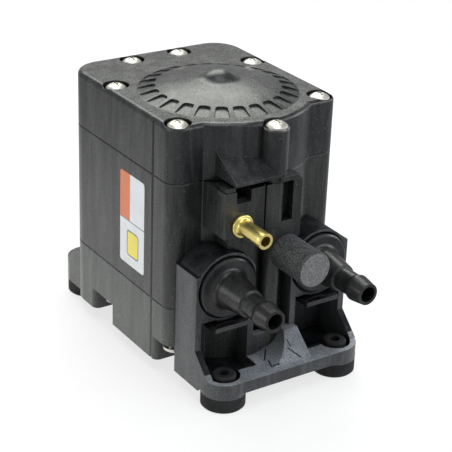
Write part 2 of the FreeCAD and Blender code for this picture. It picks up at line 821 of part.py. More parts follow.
def pedestal(body):
    """The short column under the block, hollowed where the left port's boss passes it."""
    reach = "boss_radius + bracket_clearance"
    left_rise, right_rise = ["port_z + sqrt((%s)^2 - (port_x + %s)^2)" % (reach, x)
                             for x in ("pedestal_left_x", "pedestal_right_x")]
    drawing = Sketch(body, "Pedestal_front", "XZ_Plane", minus("block_back_y"))
    drawing.outline(("pedestal_left_x", "block_base_z"), ("pedestal_left_x", left_rise),
                    ("right", reach), ("pedestal_right_x", right_rise),
                    ("pedestal_right_x", "block_base_z"))
    pad(body, "Pedestal", drawing, "block_back_y - pedestal_front_y")


# Lower housing

def lower_housing():
    body = new_body("lower_housing")
    housing_plan(body, "bottom_z", "lower_seam_z", "lower_front_column_radius")
    seam_edge(body, "Seam_edge", "lower_seam_z")
    rear_foot_flange(body)
    side_grooves(body, "bottom_z", "lower_seam_z")
    for side, sign in SIDES.items():
        screw_notch(body, "Side_notch_" + side, sign, "side_screw_y + side_notch_rear",
                    "side_screw_y - side_notch_front", "base_seat_z + side_seat_drop")
        screw_notch(body, "Front_notch_" + side, sign, "front_corner_screw_y + front_notch_rear",
                    "front_corner_screw_y - corner_column_radius - 1", "base_seat_z + ear_thickness")
        disc(body, "Side_seat_" + side, ("corner_screw_x * " + sign, "side_screw_y"),
             "head_radius + bracket_clearance", "base_seat_z", "base_seat_z + side_seat_drop + 1")
    hole(body, "Screw_pockets", both_sides("rear_screw_x", "rear_screw_y") + [("0", "front_screw_y")],
         "head_pocket_radius", "bottom_z", "base_seat_z")
    valve_rooms(body, "Valve_room", "flap_room_radius", "valve_pocket_radius",
                "lower_seam_z - valve_pocket_depth", "lower_seam_z")
    screw_holes(body, "Screw_holes", "base_seat_z", "lower_seam_z")
    liquid_chamber(body, "lower_seam_z", "-1")
    rim_seat(body, "lower_seam_z", -1)
    chamber_channels(body, "lower_seam_z - channel_height")
    base_cavity(body)
    return body


def screw_notch(body, name, sign, rear, front, top):
    """A notch open to the side and below, where a base screw's head sits. Its rear wall is
    rounded over where it meets the side."""
    drawing = Sketch(body, name + "_plan", "XY_Plane", top)
    inner = "(corner_screw_x - head_pocket_radius) * " + sign
    outer = "(half_width + 1) * " + sign
    round_end = "(half_width - notch_round) * " + sign
    round_y = "%s + notch_round" % rear
    turn = "right" if sign == "1" else "left"
    drawing.outline((inner, front), (outer, front), (outer, round_y), ("half_width * " + sign, round_y),
                    (turn, "1.1 * notch_round"), (round_end, rear), (inner, rear))
    pocket(body, name, drawing, "(%s) - bottom_z" % top)


def base_cavity(body):
    """The round coring of the underside, with ribs left standing between its bays."""
    drawing = Sketch(body, "Bay_plan", "XY_Plane", "base_cavity_top_z", STROKE_AXIS)
    left, right = "-90 - base_bay_angle / 2", "-90 + base_bay_angle / 2"
    drawing.outline(polar("base_bay_outer_radius", left), ("left", "base_bay_outer_radius"),
                    polar("base_bay_outer_radius", right), polar("base_bay_inner_radius", right),
                    ("right", "base_bay_inner_radius"), polar("base_bay_inner_radius", left))
    first = pocket(body, "Bay", drawing, "base_cavity_top_z - bottom_z")
    polar_pattern(body, "Bays", first, drawing, "base_bay_count")


def rear_foot_flange(body):
    """The flange behind the body that the rear feet hang from, with a well over each foot."""
    profile = Sketch(body, "Rear_flange_profile", "YZ_Plane", minus("bracket_half_width"))
    inside = "rear_y - rear_corner_radius"
    profile.outline((inside, "foot_height"), ("rear_flange_y", "foot_height"),
                    ("rear_flange_y", "rear_flange_end_z"), ("rear_flange_break_y", "rear_flange_end_z"),
                    ("rear_y", "rear_flange_top_z"), (inside, "rear_flange_top_z"))
    pad(body, "Rear_flange", profile, "2 * bracket_half_width")
    corners = [(side * number("bracket_half_width"), number("rear_flange_y")) for side in (-1, 1)]
    dress(body, "Fillet", "Rear_flange_corners",
          lambda edge: any(upright(x, y)(edge) for x, y in corners), "Radius", "deck_corner_radius")
    spots = both_sides("foot_x", "foot_y")
    hole(body, "Foot_wells", spots, "foot_well_radius", "pocket_floor_z", "rear_flange_top_z")
    hole(body, "Foot_holes", spots, "foot_neck_radius + foot_hole_clearance",
         "foot_height", "pocket_floor_z")
    hole(body, "Foot_reliefs", spots, "foot_radius + foot_relief", "bottom_z", "foot_height")


# Port bracket

def front_bracket():
    """The bracket that holds both hose fittings and stands on the front feet."""
    body = new_body("front_bracket")
    edge = "bracket_half_width"
    back = "%s - bracket_clearance" % SHOULDER_Y
    deck = Sketch(body, "Deck_plan", "XY_Plane", "deck_underside_z")
    deck.rectangle(minus(edge), "deck_front_y", edge, back)
    pad(body, "Deck", deck, "deck_top_z - deck_underside_z")
    corners = [(side * number(edge), number("deck_front_y")) for side in (-1, 1)]
    dress(body, "Fillet", "Deck_corners", lambda e: any(upright(x, y)(e) for x, y in corners),
          "Radius", "deck_corner_radius")
    for side, sign in SIDES.items():
        bracket_side(body, side, sign, back)
    bracket_ramp(body)
    box_cut(body, "Column_gap", minus("bracket_inner_x"), "bracket_inner_x",
            "front_screw_y", back, "bottom_z", "ramp_top_z + 1")
    box_cut(body, "Boss_trims", minus("bracket_inner_x"), "bracket_inner_x",
            "bracket_front_y - 1", back, "ramp_top_z + 1", "port_z + boss_radius")
    hole(body, "Column_clearance", ("0", "front_screw_y"),
         "lower_front_column_radius + bracket_clearance", "base_seat_z", "bracket_top_z")
    hole(body, "Front_wall_clearance", STROKE_AXIS, "front_wall_radius + bracket_clearance",
         "bottom_z", "port_z + boss_radius")
    hole(body, "Front_screw_access", ("0", "front_screw_y"), "head_pocket_radius",
         "deck_underside_z", "base_seat_z")
    for side, sign in SIDES.items():
        bracket_ear(body, side, sign, back)
        port_bores(body, side, sign, back)
    return body


def between(sign, inner, outer):
    """Two x positions on one side of the pump, the lower first."""
    near, far = "(%s) * %s" % (inner, sign), "(%s) * %s" % (outer, sign)
    return (near, far) if sign == "1" else (far, near)


def bracket_side(body, side, sign, back):
    """One side of the bracket: outer and inner walls, pocket, boss and foot."""
    outer_left, outer_right = between(sign, "bracket_half_width - bracket_wall", "bracket_half_width")
    inner_left, inner_right = between(sign, "bracket_inner_x", "bracket_inner_x + bracket_wall")
    room_left, room_right = between(sign, "bracket_inner_x + bracket_wall",
                                    "bracket_half_width - bracket_wall")
    wall = Sketch(body, "Outer_wall_profile_" + side, "YZ_Plane", outer_left)
    wall.outline((back, "skirt_z"), (back, "bracket_top_z"), ("bracket_front_y", "bracket_top_z"),
                 ("bracket_front_y", "slope_start_z"), ("slope_end_y", "deck_top_z"),
                 ("slope_end_y + deck_top_z - skirt_z", "skirt_z"))
    pad(body, "Outer_wall_" + side, wall, "bracket_wall")
    box(body, "Inner_wall_" + side, inner_left, inner_right, "bracket_front_y", back,
        "deck_underside_z", "bracket_inner_top_z")
    box(body, "Back_wall_" + side, room_left, room_right, "%s - back_wall" % back, back,
        "deck_underside_z", "shelf_z")
    box(body, "Boss_block_" + side, room_left, room_right, "bracket_front_y", back,
        "shelf_z", "bracket_top_z - 6")
    boss = Sketch(body, "Boss_front_" + side, "XZ_Plane", minus(back))
    boss.circle(("port_x * " + sign, "port_z"), "boss_radius")
    pad(body, "Boss_" + side, boss, "(%s) - bracket_front_y" % back)
    spot = ("foot_x * " + sign, minus("foot_y"))
    disc(body, "Foot_boss_" + side, spot, "foot_radius", "foot_height", "deck_underside_z")
    box_cut(body, "Pocket_" + side, room_left, room_right, "pocket_front_y", "%s - back_wall" % back,
            "pocket_floor_z", "deck_top_z")
    hole(body, "Foot_well_" + side, spot, "foot_well_radius", "pocket_floor_z", "deck_top_z")
    hole(body, "Foot_hole_" + side, spot, "foot_neck_radius + foot_hole_clearance",
         "foot_height", "pocket_floor_z")
    hole(body, "Foot_relief_" + side, spot, "foot_radius + foot_relief", "skirt_z", "foot_height")


def bracket_ear(body, side, sign, back):
    """The ear under the lower housing that a base screw passes through."""
    left, right = between(sign, "corner_screw_x - head_pocket_radius + bracket_clearance",
                          "bracket_half_width - bracket_wall / 2")
    box(body, "Ear_" + side, left, right, "%s - back_wall" % back,
        "front_corner_screw_y + front_notch_rear - bracket_clearance",
        "base_seat_z", "base_seat_z + ear_thickness")
    hole(body, "Ear_hole_" + side, ("corner_screw_x * " + sign, "front_corner_screw_y"),
         "shank_radius + shank_clearance", "base_seat_z", "base_seat_z + ear_thickness")


def bracket_ramp(body):
    """The sloping nose between the pockets."""
    profile = Sketch(body, "Ramp_profile", "YZ_Plane", minus("ramp_half_width"))
    profile.outline(("ramp_foot_y", "deck_top_z"), ("ramp_top_y", "ramp_top_z"),
                    ("front_screw_y", "ramp_top_z"), ("front_screw_y", "deck_underside_z"),
                    ("ramp_foot_y", "deck_underside_z"))
    pad(body, "Ramp", profile, "2 * ramp_half_width")
    front = "ramp_foot_y - 1"
    cove = Sketch(body, "Ramp_cove_front", "XZ_Plane", minus(front))
    left = minus("ramp_half_width + 1")
    cove.outline((left, "deck_top_z"), ("ramp_side_foot_x", "deck_top_z"),
                 ("left", "ramp_cove_radius"), ("ramp_side_top_x", "ramp_top_z"),
                 ("ramp_side_top_x", "ramp_top_z + 1"), (left, "ramp_top_z + 1"))
    pocket(body, "Ramp_cove", cove, "bracket_front_y - (%s)" % front)


def port_bores(body, side, sign, back):
    """The spigot bore, its flange recess, the lock clip's slot and the nose at the back."""
    x = "port_x * " + sign
    front_bore(body, "Pad_room_" + side, x, "port_z", "nose_radius + 2 * nose_clearance",
               "nose_face_y", back)
    front_bore(body, "Flange_recess_" + side, x, "port_z", "boss_recess_radius",
               "bracket_front_y", "bracket_front_y + boss_recess_depth")
    nose = Sketch(body, "Nose_front_" + side, "XZ_Plane", minus("nose_face_y"))
    nose.circle((x, "port_z"), "nose_radius")
    pad(body, "Nose_" + side, nose, "nose_face_y - bore_bottom_y")
    front_bore(body, "Spigot_bore_" + side, x, "port_z", "spigot_radius + spigot_fit",
               "bracket_front_y", "bore_bottom_y")
    front_bore(body, "Waterway_" + side, x, "port_z", "waterway_radius",
               "bracket_front_y", "nose_face_y")
    seal = Sketch(body, "Face_seal_front_" + side, "XZ_Plane", minus("nose_face_y"))
    seal.circle((x, "port_z"), "waterway_radius + 1 + 2 * seal_wire_radius")
    seal.circle((x, "port_z"), "waterway_radius + 1")
    pocket(body, "Face_seal_groove_" + side, seal, "seal_groove_depth", reverse=True)
    half = "clip_half_width + clip_slot_clearance"
    box_cut(body, "Clip_slot_" + side, "%s - (%s)" % (x, half), "%s + %s" % (x, half),
            "clip_groove_y - clip_groove_width / 2", "clip_groove_y + clip_groove_width / 2",
            "port_z - boss_radius", "clip_top_z + clip_slot_clearance")


# Placed and repeated pieces

def set_down(thing, x, y, z, turn=0, axis=FreeCAD.Vector(1, 0, 0)):
    """Places a piece by three expressions, turned by a number of degrees about an axis."""
    thing.Placement = FreeCAD.Placement(FreeCAD.Vector(0, 0, 0), FreeCAD.Rotation(axis, turn))
    for path, expression in (("x", x), ("y", y), ("z", z)):
        bind(thing, "Placement.Base." + path, expression)
    return thing


def facing_front(body, x, z):
    """Lays a piece that was turned about Z along -Y, so its heights are distances forward."""
    return set_down(body, x, "0", z, 90)


def turned_body(body, *steps):
    """A piece that is one full turn of a profile of radii and heights."""
    profile = Sketch(body, "Profile", "XZ_Plane")
    profile.outline(*steps)
    revolve(body, "Turned", profile)
    return body


def form(name):
    """A shape that several pieces are copies of. It isn't a piece by itself."""
    body = doc.addObject("PartDesign::Body", "Form_" + name)
    body.Label = name + "_form"
    return body


def copies(name, original, places):
    """One piece made of separate copies of a form. A place is x, y, z and a turn about X."""
    links = []
    for index, place in enumerate(places, start=1):
        link = doc.addObject("App::Link", "%s_%d" % (name, index))
        link.LinkedObject = original
        links.append(set_down(link, *place))
    return group(name, links)


def group(name, things):
    piece = doc.addObject("Part::Compound", "Group_" + name)
    piece.Links = things
    piece.Label = name
    NODES.append(piece)
    return piece


def ring(name, radius, wire, x, y, z, turn=0):
    """A rubber ring, by the radius to the middle of its wire."""
    torus = doc.addObject("Part::Torus", "Ring_" + name)
    torus.Label = name
    bind(torus, "Radius1", radius)
    bind(torus, "Radius2", wire)
    return set_down(torus, x, y, z, turn)


# Screws

def screws():
    """Pan-head screws with a cross drive: seven from above and seven from below."""
    screw = form("pan_head_screw")
    crown = "(head_height - head_edge_height)"
    turned_body(screw, ("0", "-shank_length"), ("shank_radius", "-shank_length"), ("shank_radius", "0"),
                ("head_radius", "0"), ("head_radius", "head_edge_height"),
                ("left", "(head_radius * head_radius + %s * %s) / (2 * %s)" % (crown, crown, crown)),
                ("0", "head_height"))
    for name, across, along in (("Drive_across", "drive_span", "drive_width"),
                                ("Drive_along", "drive_width", "drive_span")):
        box_cut(screw, name, "-(%s) / 2" % across, across + " / 2", "-(%s) / 2" % along, along + " / 2",
                "head_height - drive_depth", "head_height")
    top = [(x, y, "rim_z - head_seat_depth") for x, y in screw_points()]
    base = [(x, y, "base_seat_z", 180) for x, y in screw_points()]
    copies("cover_screws", screw, top)
    copies("base_screws", screw, base)


# Hose and gas fittings

def hose_fittings():
    """The two barbed fittings that turn in their bores, and the ring that seals each."""
    back = minus("bore_bottom_y - spigot_end_gap")
    seat = minus("bracket_front_y + boss_recess_depth - spigot_end_gap")
    floor = "spigot_radius - 2 * port_seal_wire_radius - spigot_fit"
    for name, sign in (("inlet", "-1"), ("outlet", "1")):
        x = "port_x * " + sign
        body = new_body(name + "_port_fitting")
        turned_body(body, ("waterway_radius", back), ("spigot_radius", back),
                    *ring_groove("spigot_radius", floor, minus("port_seal_y"),
                                 "port_seal_wire_radius + spigot_fit"),
                    *ring_groove("spigot_radius", "clip_groove_radius", minus("clip_groove_y"),
                                 "clip_groove_width / 2"),
                    ("spigot_radius", seat), ("flange_radius", seat),
                    ("flange_radius", minus("flange_front_y + flange_edge")),
                    ("flange_radius - flange_edge", minus("flange_front_y")),
                    ("neck_radius + neck_flare", minus("flange_front_y")),
                    ("right", "neck_flare"),
                    ("neck_radius", minus("flange_front_y - neck_flare")),
                    ("neck_end_radius", minus("neck_end_y")),
                    ("barb_root_radius", minus("neck_end_y - neck_step")),
                    ("barb_root_radius", minus("barb_ridge_y + barb_back")),
                    ("barb_ridge_radius", minus("barb_ridge_y + barb_back / 3")),
                    ("barb_ridge_radius", minus("barb_ridge_y")),
                    ("barb_tip_radius", minus("barb_tip_y")), ("waterway_radius", minus("barb_tip_y")))
        facing_front(body, x, "port_z")
        seal = ring(name + "_port_seal", "spigot_radius - port_seal_wire_radius", "port_seal_wire_radius",
                    x, "port_seal_y", "port_z", 90)
        NODES.append(seal)


def ring_groove(outer, floor, middle, half):
    """Four points of a square groove in a profile that runs forward."""
    low, high = "%s - (%s)" % (middle, half), "%s + (%s)" % (middle, half)
    return [(outer, low), (floor, low), (floor, high), (outer, high)]


def gas_fitting():
    """The brass gas barb with its collar, clip groove and sealing ring."""
    body = new_body("gas_inlet_fitting")
    back = minus("block_front_y + gas_spigot_length - spigot_end_gap")
    seat = minus("block_front_y - spigot_end_gap")
    collar = "%s + gas_collar_thickness" % seat
    floor = "gas_spigot_radius - 2 * gas_seal_wire_radius - gas_spigot_fit"
    turned_body(body, ("gas_bore_radius", back), ("gas_spigot_radius", back),
                *ring_groove("gas_spigot_radius", floor, minus("gas_seal_y"),
                             "gas_seal_wire_radius + gas_spigot_fit"),
                *ring_groove("gas_spigot_radius", "gas_groove_radius", minus("gas_groove_y"),
                             "gas_groove_width / 2"),
                ("gas_spigot_radius", seat), ("gas_collar_radius", seat),
                ("gas_collar_radius", "%s - gas_collar_edge" % collar), ("left", "gas_collar_edge"),
                ("gas_collar_radius - gas_collar_edge", collar), ("gas_neck_radius + gas_flare", collar),
                ("right", "gas_flare"), ("gas_neck_radius", "%s + gas_flare" % collar),
                ("gas_barb_radius", minus("gas_tip_y + gas_barb_land")),
                ("gas_barb_radius", minus("gas_tip_y + gas_barb_land / 2")),
                ("gas_tip_radius", minus("gas_tip_y")), ("gas_bore_radius", minus("gas_tip_y")))
    facing_front(body, "gas_x", "gas_z")
    NODES.append(ring("gas_inlet_seal", "gas_spigot_radius - gas_seal_wire_radius", "gas_seal_wire_radius",
                      "gas_x", "gas_seal_y", "gas_z", 90))


def muffler():
    """The porous exhaust muffler, pushed over a spigot on the gas block."""
    body = new_body("exhaust_muffler")
    back = minus("exhaust_boss_front_y")
    front = "%s + muffler_length" % back
    socket = "exhaust_spigot_radius + muffler_socket_fit"
    turned_body(body, (socket, back), ("muffler_radius", back),
                ("muffler_radius", "%s - muffler_edge_round" % front),
                ("left", "muffler_edge_round"),
                ("muffler_radius - muffler_edge_round", front), ("0", front),
                ("0", "%s + muffler_socket_depth" % back), (socket, "%s + muffler_socket_depth" % back))
    facing_front(body, "exhaust_x", "exhaust_z")


def lock_clips():
    """The fork that holds each hose fitting, with a ledge to pull it down by."""
    for name, sign in (("inlet", "-1"), ("outlet", "1")):
        body = new_body(name + "_lock_clip")
        x = "port_x * " + sign
        left, right = x + " - clip_half_width", x + " + clip_half_width"
        gap_left, gap_right = x + " - clip_gap_half_width", x + " + clip_gap_half_width"
        fork = Sketch(body, "Fork_front", "XZ_Plane", minus("clip_groove_y + clip_thickness / 2"))
        fork.outline((left, "clip_base_z"), (right, "clip_base_z"), (right, "clip_top_z"),
                     (gap_right, "clip_top_z"), (gap_right, "port_z"), ("right", "clip_gap_half_width"),
                     (gap_left, "port_z"), (gap_left, "clip_top_z"), (left, "clip_top_z"))
        pad(body, "Fork", fork, "clip_thickness")
        box(body, "Ledge", left, right, "clip_ledge_front_y", "clip_groove_y", "clip_base_z",
            "clip_base_z + clip_ledge_thickness")


def gas_clip():
    """The clip that holds the gas fitting: two prongs in the block and an arm along its top."""
    body = new_body("gas_fitting_clip")
    bottom = "upper_seam_z + gas_clip_gap"
    top = "%s + gas_clip_thickness" % bottom
    box(body, "Arm", "gas_clip_left_x", "gas_clip_left_x + gas_clip_arm_width", "gas_clip_front_y",
        "gas_clip_rear_y", bottom, top)
    box(body, "Bridge", "gas_clip_left_x", "gas_clip_right_x", "gas_groove_y - gas_clip_thickness / 2",
        "gas_clip_rear_y", bottom, top)
    for side, sign in SIDES.items():
        left, right = between(sign, "gas_groove_radius + gas_clip_gap",
                              "gas_groove_radius + gas_clip_gap + gas_clip_prong_width")
        box(body, "Prong_" + side, "gas_x + " + left, "gas_x + " + right,
            "gas_groove_y - gas_clip_thickness / 2", "gas_groove_y + gas_clip_thickness / 2",
            "gas_clip_prong_tip_z", top)


# Feet

def feet():
    """Four rubber feet, each a grommet held in its plate by a groove."""
    places = {
        "front_left": (minus("foot_x"), minus("foot_y")),
        "front_right": ("foot_x", minus("foot_y")),
        "rear_left": (minus("foot_x"), "foot_y"),
        "rear_right": ("foot_x", "foot_y"),
    }
    for name, (x, y) in places.items():
        body = new_body("foot_" + name)
        head = "pocket_floor_z + foot_head_height"
        turned_body(body, ("foot_bolt_radius", "0"), ("foot_radius - foot_edge_chamfer", "0"),
                    ("foot_radius", "foot_edge_chamfer"), ("foot_radius", "foot_height"),
                    ("foot_neck_radius", "foot_height"), ("foot_neck_radius", "pocket_floor_z"),
                    ("foot_head_radius", "pocket_floor_z"),
                    ("foot_head_radius", "%s - foot_edge_chamfer" % head),
                    ("foot_head_radius - foot_edge_chamfer", head), ("foot_bolt_radius", head))
        set_down(body, x, y, "0")


# Pistons, diaphragms and shaft

PISTON_FACE = "diaphragm_thickness / 2"
INNER_PISTON_END = "(diaphragm_thickness / 2 + piston_thickness)"
SCREW_HOLE = "piston_screw_radius + shaft_running_fit"


def stroke_ends():
    """The seam and the turn about X of each diaphragm, whose own +Z is its liquid side."""
    return {"upper": ("upper_seam_z", 0), "lower": ("lower_seam_z", 180)}


def diaphragms():
    for end, (seam, turn) in stroke_ends().items():
        body = new_body(end + "_diaphragm")
        half = "diaphragm_thickness / 2"
        rim = "diaphragm_rim_thickness / 2"
        hub = "piston_radius + 1"
        outside = "chamber_radius - 1"
        clamp = "chamber_radius + rim_clearance"
        span = "((%s - (%s)) / 2)" % (outside, hub)
        bend = "(%s ^ 2 + convolution_height ^ 2) / (2 * convolution_height)" % span
        turned_body(body, (SCREW_HOLE, minus(half)), (hub, minus(half)), ("right", bend),
                    (outside, minus(half)), (clamp, minus(half)), (clamp, minus(rim)),
                    ("diaphragm_radius", minus(rim)), ("diaphragm_radius", rim), (clamp, rim), (clamp, half),
                    (outside, half), ("left", bend), (hub, half), (SCREW_HOLE, half))
        set_down(body, "0", "stroke_axis_y", seam, turn)


def pistons():
    for end, (seam, turn) in stroke_ends().items():
        inner = new_body(end + "_inner_piston")
        face, back = minus(PISTON_FACE), minus(INNER_PISTON_END)
        turned_body(inner, (SCREW_HOLE, back), ("piston_radius - piston_edge_round", back),
                    ("left", "piston_edge_round"), ("piston_radius", "%s + piston_edge_round" % back),
                    ("piston_radius", face), (SCREW_HOLE, face))
        set_down(inner, "0", "stroke_axis_y", seam, turn)
        outer = new_body(end + "_outer_piston")
        crown = "(%s - piston_edge_round)" % INNER_PISTON_END
        turned_body(outer, (SCREW_HOLE, PISTON_FACE), ("piston_radius", PISTON_FACE),
                    ("piston_radius", crown), ("left", "piston_edge_round"),
                    ("piston_radius - piston_edge_round", INNER_PISTON_END),
                    (SCREW_HOLE, INNER_PISTON_END))
        set_down(outer, "0", "stroke_axis_y", seam, turn)
    screw = form("piston_screw")
    head = "%s + piston_screw_head_height" % INNER_PISTON_END
    tip = "-(%s + piston_screw_depth - 1)" % INNER_PISTON_END
    turned_body(screw, ("0", tip), ("piston_screw_radius", tip),
                ("piston_screw_radius", INNER_PISTON_END), ("piston_screw_head_radius", INNER_PISTON_END),
                ("piston_screw_head_radius", head), ("0", head))
    copies("piston_screws", screw,
           [("0", "stroke_axis_y", seam, turn) for seam, turn in stroke_ends().values()])


def shaft():
    body = new_body("piston_shaft")
    low = "lower_seam_z + %s" % INNER_PISTON_END
    high = "upper_seam_z - %s" % INNER_PISTON_END
    disc(body, "Rod", STROKE_AXIS, "shaft_radius", low, high)
    hole(body, "Lower_tapping", STROKE_AXIS, SCREW_HOLE, low, "%s + piston_screw_depth" % low)
    hole(body, "Upper_tapping", STROKE_AXIS, SCREW_HOLE, "%s - piston_screw_depth" % high, high)
    rings = []
    for end, sign in (("lower", "-1"), ("upper", "1")):
        middle = "(lower_seam_z + upper_seam_z) / 2 + shaft_seal_spacing / 2 * " + sign
        rings.append(ring("shaft_seal_" + end, "shaft_radius + shaft_running_fit + seal_wire_radius",
                          "seal_wire_radius - shaft_running_fit / 2", "0", "stroke_axis_y", middle))
    group("shaft_seals", rings)


# Shuttle valve

def shuttle():
    """The valve that sends gas to one diaphragm and then the other."""
    sleeve = new_body("shuttle_sleeve")
    inside = "spool_radius + shaft_running_fit"
    turned_body(sleeve, (inside, "sleeve_bottom_z"), ("sleeve_radius", "sleeve_bottom_z"),
                ("sleeve_radius", "upper_seam_z"), (inside, "upper_seam_z"))
    set_down(sleeve, "0", "shuttle_y", "0")
    for index in (1, 2, 3):
        port = Sketch(sleeve, "Port_front_%d" % index, "XZ_Plane", minus("sleeve_radius + 1"))
        port.circle(("0", "sleeve_bottom_z + (upper_seam_z - sleeve_bottom_z) * %d / 4" % index),
                    "exhaust_bore_radius")
        pocket(sleeve, "Port_%d" % index, port, "2 * sleeve_radius + 2", reverse=True)
    spool = new_body("shuttle_spool")
    low_seal = "spool_land / 2"
    high_seal = "spool_length - spool_land / 2"
    floor = "spool_radius - 2 * spool_seal_radius - shaft_running_fit"
    half = "spool_seal_radius + shaft_running_fit"
    middle = "spool_length / 2"
    turned_body(spool, ("0", "0"), ("spool_radius", "0"),
                *ring_groove("spool_radius", floor, low_seal, half),
                ("spool_radius", "spool_land"), ("spool_neck_radius", "spool_land"),
                ("spool_neck_radius", middle + " - spool_land / 2"),
                ("spool_radius", middle + " - spool_land / 2"),
                ("spool_radius", middle + " + spool_land / 2"),
                ("spool_neck_radius", middle + " + spool_land / 2"),
                ("spool_neck_radius", "spool_length - spool_land"),
                ("spool_radius", "spool_length - spool_land"),
                *ring_groove("spool_radius", floor, high_seal, half),
                ("spool_radius", "spool_length"), ("0", "spool_length"))
    rest = "sleeve_bottom_z + spool_end_gap"
    set_down(spool, "0", "shuttle_y", rest)
    rings = [ring("spool_seal_" + end, "spool_radius - spool_seal_radius", "spool_seal_radius",
                  "0", "shuttle_y", "%s + %s" % (rest, height))
             for end, height in (("lower", low_seal), ("upper", high_seal))]
    group("spool_seals", rings)


# Check valves

def check_valves():
    """Rubber umbrella valves on seat plates. Each form's +Z is the way the liquid goes."""
    flap = form("umbrella_valve")
    crown = "(valve_flap_height - flap_edge)"
    stem_end = "-seat_thickness - valve_bulb_length"
    turned_body(flap, ("0", stem_end), ("valve_stem_radius / 2", stem_end),
                ("valve_bulb_radius", "-seat_thickness"),
                ("valve_stem_radius", "-seat_thickness"), ("valve_stem_radius", "0"),
                ("valve_flap_radius", "0"), ("valve_flap_radius", "flap_edge"),
                ("left", "(valve_flap_radius^2 + %s^2) / (2 * %s)" % (crown, crown)),
                ("0", "valve_flap_height"))
    plate = form("valve_seat")
    disc(plate, "Plate", ("0", "0"), "seat_radius", "-seat_thickness", "0")
    hole(plate, "Stem_hole", ("0", "0"), "valve_stem_radius + valve_stem_fit", "-seat_thickness", "0")
    around = Sketch(plate, "Flow_hole_plan", "XY_Plane")
    around.circle(("seat_hole_circle", "0"), "seat_hole_radius")
    first = pocket(plate, "Flow_hole", around, "seat_thickness")
    polar_pattern(plate, "Flow_holes", first, around, "seat_hole_count")
    inlet = [(minus("valve_x"), "valve_y", "upper_seam_z", 0),
             (minus("valve_x"), "valve_y", "lower_seam_z", 180)]
    outlet = [("valve_x", "valve_y", "upper_seam_z", 180), ("valve_x", "valve_y", "lower_seam_z", 0)]
    copies("inlet_check_valves", flap, inlet)
    copies("outlet_check_valves", flap, outlet)
    copies("check_valve_seats", plate, inlet + outlet)


def face_seals():
    """The rings between the bracket's noses and the centre body."""
    rings = []
    for side, sign in SIDES.items():
        rings.append(ring("face_seal_" + side, "waterway_radius + 1 + seal_wire_radius",
                          "seal_groove_depth / 2", "port_x * " + sign,
                          "nose_face_y - seal_groove_depth / 2", "port_z", 90))
    group("bracket_seals", rings)


PIECES = [
    upper_cover, centre_body, lower_housing, front_bracket, screws, hose_fittings, gas_fitting, muffler,
    lock_clips, gas_clip, feet, diaphragms, pistons, shaft, shuttle, check_valves, face_seals,
]


def write_parts():
    """Checks every object and every piece, then writes one file for each piece."""
    doc.recompute()
    for thing in doc.Objects:
        if "Invalid" in thing.State or "Error" in thing.State:
            raise ValueError("%s failed: %s" % (thing.Name, thing.State))
        if thing.TypeId in ("PartDesign::Pocket", "PartDesign::Groove"):
            if thing.Shape.Volume > thing.BaseFeature.Shape.Volume - 1e-6:
                raise ValueError("%s cuts nothing" % thing.Name)
    for node in NODES:
        if node.Shape.isNull() or not node.Shape.isValid():
            raise ValueError("%s has no valid shape" % node.Label)
    os.makedirs("parts", exist_ok=True)
    for node in NODES:
        node.Shape.exportStep(os.path.join("parts", node.Label + ".step"))


for piece in PIECES:
    piece()
write_parts()
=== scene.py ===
import json
import math

import bpy
import numpy as np
from mathutils import Matrix, Vector


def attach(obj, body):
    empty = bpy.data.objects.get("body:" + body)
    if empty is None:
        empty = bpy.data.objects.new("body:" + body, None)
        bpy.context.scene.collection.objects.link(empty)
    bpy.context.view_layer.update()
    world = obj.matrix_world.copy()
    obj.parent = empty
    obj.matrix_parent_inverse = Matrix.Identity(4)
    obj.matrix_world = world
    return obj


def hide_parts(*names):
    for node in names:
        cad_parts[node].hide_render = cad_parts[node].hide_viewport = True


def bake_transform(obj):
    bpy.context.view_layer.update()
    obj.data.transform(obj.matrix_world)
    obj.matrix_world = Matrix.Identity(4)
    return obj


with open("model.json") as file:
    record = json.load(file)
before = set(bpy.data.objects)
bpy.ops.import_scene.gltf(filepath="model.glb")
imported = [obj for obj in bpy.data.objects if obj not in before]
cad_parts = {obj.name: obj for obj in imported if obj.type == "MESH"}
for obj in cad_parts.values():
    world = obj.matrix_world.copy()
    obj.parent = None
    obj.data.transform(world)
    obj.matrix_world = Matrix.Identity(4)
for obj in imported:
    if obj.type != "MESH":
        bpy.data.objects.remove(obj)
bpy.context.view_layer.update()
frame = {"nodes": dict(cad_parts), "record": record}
NODES = frame["nodes"]
MM = 0.001

# Front bracket: its finger pockets, the top of its dust and painted top light, foot of painted
# shade
POCKET_SIDE, POCKET_EDGE = 13.2 * MM, -63.5 * MM
DUST_AND_LIGHT_TOP, SHADE_FOOT = 30 * MM, 45 * MM
# The strokes cut into its ramp, seen from above as (x, y, x, y) in millimetres
FLOW_MARKS = ((4.4, -61.8, 4.5, -64.2), (3.0, -64.7, 7.3, -69.2), (-3.6, -56.6, -8.0, -62.2),
              (-7.1, -64.1, -8.4, -68.4), (-7.7, -68.6, -4.9, -69.2))
STROKE_HALF_WIDTH, STROKE_DEPTH = 0.22 * MM, 0.25 * MM

# The diaphragms: the y of their axis, and how many sectors each is cut into
AXIS_Y = -5.0 * MM
SECTORS = 12

# The sticker on the left wall: the wall's x, its middle, half its size and its corners' radius
WALL_X = -44.0 * MM
LABEL_Y, LABEL_Z = -4.25 * MM, 68.05 * MM
LABEL_HALF_WIDTH, LABEL_HALF_HEIGHT, LABEL_CORNER = 10.85 * MM, 22.75 * MM, 1.6 * MM
